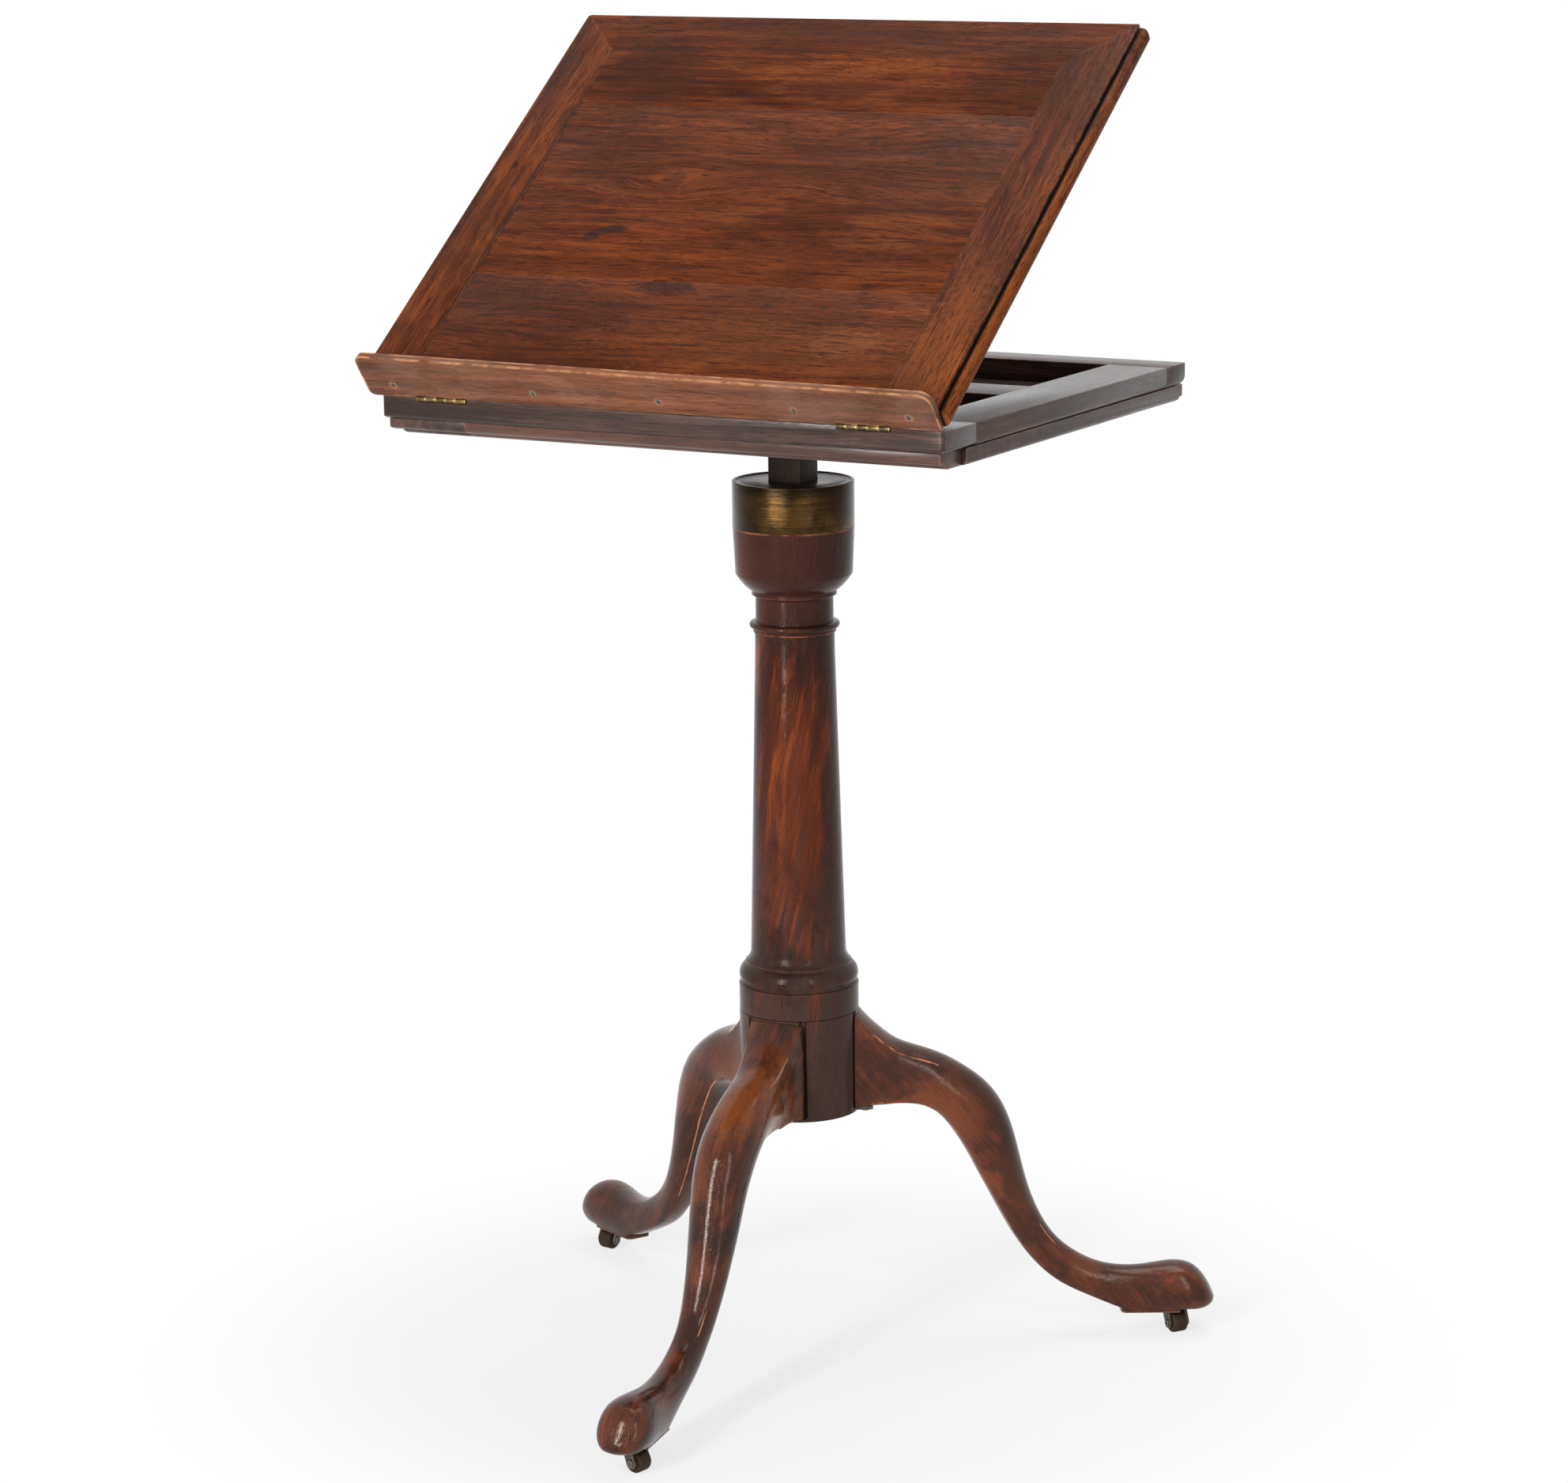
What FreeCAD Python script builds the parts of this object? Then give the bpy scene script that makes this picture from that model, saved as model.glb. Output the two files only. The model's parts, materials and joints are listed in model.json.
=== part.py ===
import FreeCAD
import Part

import math
import os

import Sketcher
from FreeCAD import Placement, Rotation, Vector

# Millimetres and degrees. X runs to the right along the front edge, Y to the back, Z up.
# The origin lies on the floor, under the axis of the column.

DRIVING_SIZES = {
    # Column, turned from one piece and bored from the top
    "block_radius": 45.3,
    "block_foot": 191.5,
    "block_height": 98.8,
    "scribed_line_drop": 20.3,
    "scribed_line_half": 0.5,
    "scribed_line_depth": 0.6,
    "quirk_radius": 43.6,
    "quirk_rise": 0.9,
    "quirk_height": 1.3,
    "torus_height": 13.0,
    "torus_top_radius": 41.2,
    "torus_centre_radius": 35.5,
    "fillet_radius": 40.2,
    "fillet_rise": 0.6,
    "fillet_height": 1.6,
    "cove_height": 8.1,
    "shaft_foot_radius": 36.0,
    "cove_centre_radius": 47.0,
    "shaft_length": 233.2,
    "shaft_top_radius": 29.9,
    "astragal_gap": 12.0,
    "neck_fillet_radius": 31.2,
    "neck_fillet_height": 2.8,
    "ring_shoulder": 0.6,
    "ring_side_radius": 33.0,
    "ring_height": 5.0,
    "ring_centre_radius": 31.4,
    "neck_radius": 29.2,
    "neck_length": 18.6,
    "cup_lip_rise": 1.8,
    "cup_lip_height": 2.9,
    "cup_lip_radius": 31.9,
    "ogee_height": 12.5,
    "ogee_top_radius": 43.5,
    "ogee_centre_radius": 8.0,
    "cup_foot_radius": 43.9,
    "cup_foot_rise": 0.8,
    "cup_wall_height": 35.1,
    "band_radius": 45.5,
    "band_wall": 2.4,
    "band_height": 34.4,
    "cap_radius": 39.4,
    "cap_thick": 14.0,
    "cap_recess": 0.7,
    "bore_radius": 19.6,
    "bore_depth": 338.9,
    "joint_gap": 0.05,
    # Flutes in the block, one on each side of every leg
    "flute_radius": 2.8,
    "flute_rise": 5.0,
    "flute_angle": 28.5,
    # Legs
    "toe_reach": 320.0,
    "leg_width": 41.0,
    "pad_height": 18.0,
    "heel_reach": 247.0,
    "heel_width": 29.0,
    "heel_back_width": 21.0,
    "heel_thick": 8.0,
    "heel_length": 45.0,
    "heel_corner": 5.0,
    "tongue_depth": 16.0,
    "tongue_neck": 8.0,
    "tongue_root": 11.5,
    "tongue_height": 65.0,
    "tongue_gap": 0.1,
    # Strap under the block
    "strap_thick": 2.5,
    "strap_disc_radius": 26.0,
    "strap_reach": 55.0,
    "strap_half_width": 9.0,
    "strap_screw_reach": 50.0,
    "strap_screw_radius": 2.0,
    "strap_screw_length": 22.0,
    "strap_head_radius": 4.0,
    "strap_head_thick": 2.2,
    # Castors
    "castor_inset": 31.0,
    "castor_trail": 6.0,
    "castor_well_radius": 12.0,
    "castor_well_depth": 7.0,
    "castor_plate_radius": 11.2,
    "castor_plate_thick": 2.0,
    "castor_wheel_radius": 8.0,
    "castor_wheel_width": 12.0,
    "castor_wheel_round": 2.0,
    "castor_axle_radius": 1.6,
    "castor_axle_head": 2.6,
    "castor_axle_head_thick": 0.9,
    "castor_cheek_thick": 2.2,
    "castor_cheek_radius": 4.2,
    "castor_side_gap": 0.35,
    "castor_horn_radius": 9.0,
    "castor_horn_thick": 2.3,
    "castor_horn_gap": 0.3,
    "pintle_radius": 2.3,
    "pintle_head_radius": 3.6,
    "pintle_head_thick": 0.8,
    "running_gap": 0.06,
    # Rising post
    "post_side": 27.2,
    "post_showing": 47.1,
    "post_bottom_gap": 49.0,
    "post_guide_height": 20.0,
    "tenon_side": 20.0,
    "tenon_height": 23.0,
    "spring_rise": 3.0,
    "spring_length": 48.0,
    "spring_width": 10.0,
    "spring_thick": 0.8,
    "spring_bow": 4.8,
    "post_screw_radius": 2.5,
    "post_screw_length": 20.0,
    "post_screw_head": 5.0,
    "post_screw_head_thick": 2.5,
    # Open frame of the top
    "frame_width": 456.0,
    "frame_depth": 403.6,
    "rail_thick": 16.0,
    "side_rail_width": 48.8,
    "back_rail_width": 35.3,
    "front_rail_width": 50.0,
    "cross_rail_front": 16.3,
    "cross_rail_back": 33.1,
    "frame_corner": 3.0,
    "rail_edge_round": 4.0,
    "back_edge_round": 13.8,
    # Lower board of the top
    "board_thick": 12.0,
    "board_side_inset": 1.5,
    "board_front_inset": 5.2,
    "board_back_inset": 1.5,
    "board_edge_flat": 5.4,
    "board_ovolo_in": 4.7,
    "board_ovolo_drop": 3.4,
    "board_step_in": 3.0,
    "board_step_drop": 0.3,
    "board_lower_ovolo_in": 3.5,
    "board_right_round": 3.0,
    "board_left_clamp_width": 66.2,
    "board_front_strip_width": 33.0,
    "board_strip_setback": 3.7,
    "frame_screw_radius": 2.0,
    "frame_screw_head": 4.0,
    "frame_screw_head_thick": 2.4,
    "frame_screw_depth": 9.0,
    # Hinge line of the slope, and its two butt hinges
    "slope_angle": 36.4,
    "hinge_setback": 0.5,
    "hinge_drop": 0.4,
    "knuckle_radius": 2.0,
    "knuckle_gap": 0.3,
    "knuckle_clearance": 0.3,
    "hinge_length": 42.0,
    "hinge_leaf_width": 15.0,
    "hinge_leaf_thick": 1.2,
    "hinge_pin_radius": 0.9,
    "hinge_left_inset": 51.4,
    "hinge_right_inset": 61.5,
    "hinge_screw_radius": 1.3,
    "hinge_screw_head": 2.4,
    "hinge_screw_length": 10.0,
    "hinge_screw_setback": 10.0,
    "hinge_screw_spread": 14.0,
    # Slope
    "slope_left_overhang": 12.5,
    "slope_right_setback": 1.8,
    "slope_back_overhang": 6.4,
    "slope_underside": 1.0,
    "slope_thick": 16.1,
    "slope_corner": 3.5,
    "bead_height": 12.6,
    "bead_left_proud": 0.4,
    "bead_right_proud": 6.5,
    "quirk_width": 1.0,
    "quirk_depth": 2.6,
    "clamp_left_width": 41.0,
    "clamp_right_width": 44.2,
    # Ledge
    "ledge_thick": 5.0,
    "ledge_left_height": 37.5,
    "ledge_right_height": 32.5,
    "ledge_left_inset": 3.1,
    "ledge_right_overhang": 0.8,
    "ledge_left_round": 6.5,
    "ledge_right_round": 10.0,
    "ledge_foot_round": 5.0,
    "ledge_screw_height": 11.0,
    "ledge_screw_head": 2.6,
    "ledge_screw_radius": 1.5,
    "ledge_screw_length": 26.0,
    "ledge_screw_slot": 0.6,
    "ledge_screw_slot_depth": 0.7,
    # Easel strut and its brackets
    "strut_back_gap": 23.8,
    "strut_pivot_drop": 4.1,
    "strut_foot_drop": 8.5,
    "strut_arm_spread": 75.0,
    "strut_arm_width": 18.0,
    "strut_arm_thick": 9.0,
    "strut_foot_radius": 3.5,
    "strut_pin_radius": 2.0,
    "strut_lug_thick": 2.5,
    "strut_lug_radius": 4.2,
    "strut_side_gap": 0.3,
    "bracket_plate_thick": 1.5,
    "bracket_plate_length": 30.0,
    "bracket_screw_setback": 10.5,
    "notch_side_gap": 1.5,
    "notch_depth": 11.5,
    # Ratchet strips
    "ratchet_spread": 45.0,
    "ratchet_width": 14.0,
    "ratchet_back_gap": 18.4,
    "ratchet_tooth_depth": 1.9,
    "ratchet_tip_gap": 0.4,
    "ratchet_front_gap": 1.0,
}
RATCHET_TEETH = 12

# Places of the ledge's screws, as shares of its length from the left end.
LEDGE_SCREW_SHARES = (0.0514, 0.3072, 0.5293, 0.7614, 0.9522)

# Widths of the slope's lower and middle boards, as shares of its length behind the ledge.
LOWER_BOARD_SHARE = 0.2744
MIDDLE_BOARD_SHARE = 0.4672

# Cabriole leg, seen from the side. Each row is one section across the leg:
# reach and height of its outer edge, reach and height of its inner edge,
# full width, width between the outer arrises, and width between the inner arrises.
# Reaches are shares of toe_reach, heights above the pad are shares of the rise
# from the pad to the foot of the block, widths are shares of leg_width.
LEG_SECTION_SHARES = [
    (0.110, 1.482, 0.110, 1.001, 1.06, 1.05, 1.00),
    (0.150, 1.427, 0.150, 1.001, 1.00, 0.99, 0.94),
    (0.175, 1.377, 0.176, 1.003, 0.93, 0.91, 0.84),
    (0.206, 1.326, 0.203, 1.004, 0.90, 0.86, 0.78),
    (0.250, 1.276, 0.238, 1.006, 0.92, 0.82, 0.74),
    (0.302, 1.243, 0.276, 0.999, 0.98, 0.78, 0.72),
    (0.359, 1.197, 0.308, 0.977, 1.03, 0.76, 0.68),
    (0.419, 1.125, 0.339, 0.931, 1.05, 0.73, 0.64),
    (0.470, 1.029, 0.364, 0.871, 1.03, 0.70, 0.60),
    (0.508, 0.880, 0.394, 0.781, 0.97, 0.66, 0.56),
    (0.531, 0.715, 0.430, 0.652, 0.89, 0.61, 0.52),
    (0.555, 0.559, 0.472, 0.502, 0.78, 0.55, 0.46),
    (0.584, 0.439, 0.513, 0.367, 0.68, 0.50, 0.42),
    (0.630, 0.328, 0.576, 0.218, 0.59, 0.45, 0.38),
    (0.688, 0.253, 0.644, 0.123, 0.59, 0.46, 0.40),
    (0.745, 0.214, 0.724, 0.052, 0.64, 0.49, 0.46),
    (0.790, 0.203, 0.782, 0.009, 0.70, 0.53, 0.56),
    (0.835, 0.205, 0.833, 0.000, 0.78, 0.60, 0.64),
    (0.878, 0.214, 0.878, 0.000, 0.88, 0.68, 0.72),
    (0.915, 0.215, 0.915, 0.000, 0.95, 0.73, 0.76),
    (0.947, 0.198, 0.947, 0.000, 0.93, 0.70, 0.72),
    (0.972, 0.158, 0.972, 0.004, 0.80, 0.60, 0.60),
    (0.989, 0.108, 0.989, 0.015, 0.58, 0.42, 0.42),
    (0.999, 0.068, 0.999, 0.040, 0.28, 0.18, 0.18),
]
CROWN_SHARE = 0.19
INNER_CROWN_SHARE = 0.08
WIDEST_SHARE = 0.08
CROWN_LIMIT_SHARE = 0.25

# Turn of each leg about the column, and of each castor on its pintle, from straight out.
LEG_ANGLES = {"front": -86.4, "right": 33.75, "left": 151.4}
CASTOR_SWIVELS = {"front": 75.0, "right": -70.0, "left": 110.0}


class Size:
    """A length or angle: its value, and the spreadsheet expression that gives it."""

    def __init__(self, value, text):
        self.value = value
        self.text = text

    def __add__(self, other):
        other = as_size(other)
        return Size(self.value + other.value, f"({self.text} + {other.text})")

    def __sub__(self, other):
        other = as_size(other)
        return Size(self.value - other.value, f"({self.text} - {other.text})")

    def __mul__(self, factor):
        factor = as_size(factor)
        return Size(self.value * factor.value, f"({self.text} * {factor.text})")

    def __truediv__(self, factor):
        factor = as_size(factor)
        return Size(self.value / factor.value, f"({self.text} / {factor.text})")

    def __neg__(self):
        return Size(-self.value, f"(0 - {self.text})")

    __radd__ = __add__
    __rmul__ = __mul__

    def __rsub__(self, other):
        return as_size(other) - self


def as_size(number):
    return number if isinstance(number, Size) else Size(float(number), f"{float(number):.6f}")


class Sizes:
    """The driving dimensions, one attribute for each alias of the sheet."""


def add_levels():
    """Heights and lengths that follow from the driving dimensions, from the floor up."""
    S.block_top = S.block_foot + S.block_height
    S.torus_foot = S.block_top + S.quirk_rise + S.quirk_height
    S.torus_top = S.torus_foot + S.torus_height
    S.fillet_foot = S.torus_top + S.fillet_rise
    S.fillet_top = S.fillet_foot + S.fillet_height
    S.shaft_foot = S.fillet_top + S.cove_height
    S.shaft_top = S.shaft_foot + S.shaft_length
    S.neck_fillet_foot = S.shaft_top + S.astragal_gap
    S.ring_foot = S.neck_fillet_foot + S.neck_fillet_height
    S.neck_top = S.ring_foot + S.ring_height + S.neck_length
    S.cup_lip_foot = S.neck_top + S.cup_lip_rise
    S.cup_lip_top = S.cup_lip_foot + S.cup_lip_height
    S.ogee_top = S.cup_lip_top + S.ogee_height
    S.band_foot = S.ogee_top + S.cup_foot_rise + S.cup_wall_height
    S.band_top = S.band_foot + S.band_height
    S.bore_foot = S.band_top - S.bore_depth
    S.post_foot = S.bore_foot + S.post_bottom_gap
    S.board_foot = S.band_top + S.post_showing
    S.rail_foot = S.board_foot + S.board_thick
    S.frame_top = S.rail_foot + S.rail_thick


def add_widths():
    """Places across and along the top that follow from the frame's size."""
    S.castor_reach = S.toe_reach - S.castor_inset
    half_width = S.frame_width / 2
    S.hinge_left_centre = S.hinge_left_inset - half_width
    S.hinge_right_centre = half_width - S.hinge_right_inset
    S.slope_left = -half_width - S.slope_left_overhang
    S.slope_right = half_width - S.slope_right_setback
    S.slope_length = S.frame_depth - S.hinge_setback + S.slope_back_overhang
    S.ledge_left_end = S.slope_left + S.ledge_left_inset
    S.ledge_right_end = S.slope_right + S.ledge_right_overhang
    S.well_back = S.frame_depth / 2 - S.back_rail_width
    hinge_y = S.hinge_setback - S.frame_depth / 2
    S.strut_reach = (S.well_back - S.strut_back_gap - hinge_y) / 2
    strip_length = S.well_back - S.ratchet_back_gap - S.cross_rail_back - S.ratchet_front_gap
    S.ratchet_pitch = strip_length / RATCHET_TEETH


S = Sizes()
ZERO = as_size(0)
doc = FreeCAD.newDocument("book_stand")
pieces = []


def fill_sheet():
    sheet = doc.addObject("Spreadsheet::Sheet", "Sizes")
    for row, (alias, number) in enumerate(DRIVING_SIZES.items(), start=1):
        sheet.set(f"A{row}", alias)
        sheet.set(f"B{row}", str(number))
        sheet.setAlias(f"B{row}", alias)
        setattr(S, alias, Size(number, f"Sizes.{alias}"))
    add_levels()
    add_widths()
    doc.recompute()


def bind(thing, prop, size):
    thing.setExpression(prop, as_size(size).text)


def bind_base(thing, place):
    for axis, size in zip("xyz", place):
        bind(thing, f"Placement.Base.{axis}", size)


# Plain solids and booleans


def block(name, x_range, y_range, z_range):
    thing = doc.addObject("Part::Box", name)
    for prop, (low, high) in zip(("Length", "Width", "Height"), (x_range, y_range, z_range)):
        bind(thing, prop, as_size(high) - low)
    bind_base(thing, [low for low, high in (x_range, y_range, z_range)])
    return thing


def rod(name, radius, start, length, along="Z"):
    thing = doc.addObject("Part::Cylinder", name)
    bind(thing, "Radius", radius)
    bind(thing, "Height", length)
    turns = {"Z": Rotation(), "X": Rotation(Vector(0, 1, 0), 90), "Y": Rotation(Vector(1, 0, 0), -90)}
    thing.Placement = Placement(Vector(), turns[along])
    bind_base(thing, start)
    return thing


def ball(name, radius, centre):
    thing = doc.addObject("Part::Sphere", name)
    bind(thing, "Radius", radius)
    bind_base(thing, centre)
    return thing


def countersunk(name, shank, head, head_thick, length, tip_at, along="Z"):
    """A screw whose flat head ends at tip_at plus its length."""
    x, y, z = tip_at
    body_length = as_size(length) - head_thick
    shaft = rod(f"{name}_shank", shank, tip_at, body_length, along)
    cone = doc.addObject("Part::Cone", f"{name}_head")
    bind(cone, "Radius1", shank)
    bind(cone, "Radius2", head)
    bind(cone, "Height", head_thick)
    cone.Placement = Placement(Vector(), shaft.Placement.Rotation)
    moves = {"Z": (x, y, z + body_length), "Y": (x, y + body_length, z)}
    bind_base(cone, moves[along])
    return fused(name, [shaft, cone])


def fused(name, shapes):
    thing = doc.addObject("Part::MultiFuse", name)
    thing.Shapes = shapes
    return thing


def common(name, shapes):
    thing = doc.addObject("Part::MultiCommon", name)
    thing.Shapes = shapes
    return thing


def group(name, shapes):
    thing = doc.addObject("Part::Compound", name)
    thing.Links = shapes
    return thing


def cut(name, base, tools):
    thing = doc.addObject("Part::Cut", name)
    thing.Base = base
    thing.Tool = tools[0] if len(tools) == 1 else fused(f"{name}_tools", tools)
    return thing


def turned_copy(name, source, angle):
    """The same thing turned about the column's axis."""
    thing = doc.addObject("Part::Compound", name)
    thing.Links = [source]
    thing.Placement = Placement(Vector(), Rotation(Vector(0, 0, 1), angle))
    return thing


# Sketched solids


class Corner:
    """A corner of an outline. With a centre coordinate, the edge that arrives here is an arc."""

    def __init__(self, u, v, centre_u=None, centre_v=None, turn="left"):
        self.u = as_size(u)
        self.v = as_size(v)
        self.centre_u = centre_u
        self.centre_v = centre_v
        self.turn = turn

    def point(self):
        return Vector(self.u.value, self.v.value, 0)

    def is_arc(self):
        return self.centre_u is not None or self.centre_v is not None


def arc_centre(start, end, corner):
    """The point at equal distance from both ends, at the given centre coordinate."""
    du = end.x - start.x
    dv = end.y - start.y
    half = (end.x ** 2 + end.y ** 2 - start.x ** 2 - start.y ** 2) / 2
    if corner.centre_u is not None:
        u = as_size(corner.centre_u).value
        return Vector(u, (half - u * du) / dv, 0)
    v = as_size(corner.centre_v).value
    return Vector((half - v * dv) / du, v, 0)


def edge_between(start, end, corner):
    """The edge, and which of its ends is the start."""
    if not corner.is_arc():
        return Part.LineSegment(start, end), 1, 2
    centre = arc_centre(start, end, corner)
    first, last = (start, end) if corner.turn == "left" else (end, start)
    circle = Part.Circle(centre, Vector(0, 0, 1), (start - centre).Length)
    angles = [math.atan2(p.y - centre.y, p.x - centre.x) for p in (first, last)]
    edge = Part.ArcOfCircle(circle, angles[0], angles[1])
    return (edge, 1, 2) if corner.turn == "left" else (edge, 2, 1)


def fix_coordinate(sketch, kind, edge, end, size):
    """Hold one coordinate of a point at a size, or on the axis where it is zero."""
    if abs(size.value) < 1e-9:
        axis = -2 if kind == "DistanceX" else -1
        sketch.addConstraint(Sketcher.Constraint("PointOnObject", edge, end, axis))
        return
    number = sketch.addConstraint(Sketcher.Constraint(kind, -1, 1, edge, end, size.value))
    sketch.setExpression(f"Constraints[{number}]", size.text)


def draw_outline(sketch, corners):
    edges = []
    for number, corner in enumerate(corners):
        edges.append(edge_between(corners[number - 1].point(), corner.point(), corner))
    sketch.addGeometry([edge for edge, first, last in edges], False)
    for number, corner in enumerate(corners):
        following = (number + 1) % len(corners)
        joint = Sketcher.Constraint("Coincident", number, edges[number][2], following, edges[following][1])
        sketch.addConstraint(joint)
        fix_coordinate(sketch, "DistanceX", number, edges[number][2], corner.u)
        fix_coordinate(sketch, "DistanceY", number, edges[number][2], corner.v)
        if corner.centre_u is not None:
            fix_coordinate(sketch, "DistanceX", number, 3, as_size(corner.centre_u))
        if corner.centre_v is not None:
            fix_coordinate(sketch, "DistanceY", number, 3, as_size(corner.centre_v))


def body_with_sketch(name, plane, corners, offset=ZERO):
    body = doc.addObject("PartDesign::Body", name)
    sketch = body.newObject("Sketcher::SketchObject", f"{name}_outline")
    support = [f for f in body.Origin.OriginFeatures if f.Role == plane][0]
    sketch.AttachmentSupport = [(support, "")]
    sketch.MapMode = "FlatFace"
    bind(sketch, "AttachmentOffset.Base.z", offset)
    doc.recompute()
    draw_outline(sketch, corners)
    return body, sketch


def revolved(name, corners):
    body, sketch = body_with_sketch(name, "XZ_Plane", corners)
    turning = body.newObject("PartDesign::Revolution", f"{name}_turning")
    turning.Profile = sketch
    turning.ReferenceAxis = (sketch, ["V_Axis"])
    turning.Angle = 360
    return body


def padded(name, plane, corners, low, high):
    """An outline drawn out from low to high along the plane's normal axis."""
    offset = -as_size(high) if plane == "XZ_Plane" else low
    body, sketch = body_with_sketch(name, plane, corners, offset)
    pad = body.newObject("PartDesign::Pad", f"{name}_pad")
    pad.Profile = sketch
    bind(pad, "Length", as_size(high) - low)
    return body


def rounded_corners(left, right, front, back, radius):
    """A rectangle with rounded corners, drawn anticlockwise."""
    return [
        Corner(left + radius, front),
        Corner(right - radius, front),
        Corner(right, front + radius, centre_u=right - radius),
        Corner(right, back - radius),
        Corner(right - radius, back, centre_u=right - radius),
        Corner(left + radius, back),
        Corner(left, back - radius, centre_u=left + radius),
        Corner(left, front + radius),
        Corner(left + radius, front, centre_u=left + radius),
    ][1:]


def keep(name, thing):
    """Name a finished sub-part, which is then written to its own file."""
    thing.Label = name
    pieces.append(thing)
    return thing


# Column


def column_outline():
    ring_top = S.ring_foot + S.ring_height
    spigot_radius = S.band_radius - S.band_wall - S.joint_gap
    cap_seat_radius = S.cap_radius + S.joint_gap
    rim = S.band_top - S.cap_recess
    cap_seat = rim - S.cap_thick
    line_height = S.block_top - S.scribed_line_drop
    line_low = line_height - S.scribed_line_half
    line_high = line_height + S.scribed_line_half
    return [
        Corner(0, S.block_foot),
        Corner(S.block_radius, S.block_foot),
        Corner(S.block_radius, line_low),
        Corner(S.block_radius - S.scribed_line_depth, line_height),
        Corner(S.block_radius, line_high),
        Corner(S.block_radius, S.block_top),
        Corner(S.quirk_radius, S.block_top + S.quirk_rise),
        Corner(S.quirk_radius, S.torus_foot),
        Corner(S.torus_top_radius, S.torus_top, centre_u=S.torus_centre_radius),
        Corner(S.fillet_radius, S.fillet_foot),
        Corner(S.fillet_radius, S.fillet_top),
        Corner(S.shaft_foot_radius, S.shaft_foot, centre_u=S.cove_centre_radius, turn="right"),
        Corner(S.shaft_top_radius, S.shaft_top),
        Corner(S.shaft_top_radius, S.neck_fillet_foot),
        Corner(S.neck_fillet_radius, S.neck_fillet_foot),
        Corner(S.neck_fillet_radius, S.ring_foot),
        Corner(S.ring_side_radius, S.ring_foot + S.ring_shoulder),
        Corner(S.ring_side_radius, ring_top - S.ring_shoulder, centre_u=S.ring_centre_radius),
        Corner(S.neck_radius, ring_top),
        Corner(S.neck_radius, S.neck_top),
        Corner(S.cup_lip_radius, S.cup_lip_foot),
        Corner(S.cup_lip_radius, S.cup_lip_top),
        Corner(S.ogee_top_radius, S.ogee_top, centre_u=S.ogee_centre_radius),
        Corner(S.cup_foot_radius, S.ogee_top + S.cup_foot_rise),
        Corner(S.band_radius - S.joint_gap, S.band_foot),
        Corner(spigot_radius, S.band_foot),
        Corner(spigot_radius, rim),
        Corner(cap_seat_radius, rim),
        Corner(cap_seat_radius, cap_seat),
        Corner(S.bore_radius, cap_seat),
        Corner(S.bore_radius, S.bore_foot),
        Corner(0, S.bore_foot),
    ]


def tongue_outline(gap):
    """Plan of a leg's dovetail tongue, along +X, with a gap all round for its socket."""
    root = S.block_radius - S.tongue_depth - gap
    mouth = S.block_radius + S.tongue_gap
    return [
        Corner(mouth, -S.tongue_neck - gap),
        Corner(mouth, S.tongue_neck + gap),
        Corner(root, S.tongue_root + gap),
        Corner(root, -S.tongue_root - gap),
    ]


def leg_socket(side, angle):
    top = S.block_foot + S.tongue_height + S.tongue_gap
    low = S.block_foot - S.strap_thick
    socket = padded(f"socket_{side}", "XY_Plane", tongue_outline(S.tongue_gap), low, top)
    return turned_copy(f"socket_{side}_turned", socket, angle)


def flutes(side, angle):
    """The two flutes beside a leg, each with a round foot."""
    made = []
    for hand, sign in (("a", -1), ("b", 1)):
        name = f"flute_{side}_{hand}"
        foot_height = S.block_foot + S.flute_rise
        length = S.block_top - S.scribed_line_drop - foot_height
        stem = rod(f"{name}_stem", S.flute_radius, (S.block_radius, ZERO, foot_height), length)
        foot = ball(f"{name}_foot", S.flute_radius, (S.block_radius, ZERO, foot_height))
        both = fused(f"{name}_both", [stem, foot])
        made.append(turned_copy(name, both, angle + sign * S.flute_angle.value))
    return made


def make_column():
    turning = revolved("column_turning", column_outline())
    cutters = []
    for side, angle in LEG_ANGLES.items():
        cutters.append(leg_socket(side, angle))
        cutters.extend(flutes(side, angle))
    keep("column", cut("column_solid", turning, cutters))


def make_head():
    inner = S.band_radius - S.band_wall
    height = S.band_top - S.band_foot
    outer_tube = rod("band_outer", S.band_radius, (ZERO, ZERO, S.band_foot), height)
    inner_tube = rod("band_inner", inner, (ZERO, ZERO, S.band_foot), height)
    keep("brass_band", cut("band_solid", outer_tube, [inner_tube]))
    cap_foot = S.band_top - S.cap_recess - S.cap_thick
    disc = rod("cap_disc", S.cap_radius, (ZERO, ZERO, cap_foot), S.cap_thick)
    half = S.post_side / 2 + S.running_gap
    hole = block("cap_hole", (-half, half), (-half, half), (cap_foot, S.band_top))
    keep("collar_cap", cut("cap_solid", disc, [hole]))


# Legs


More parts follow.
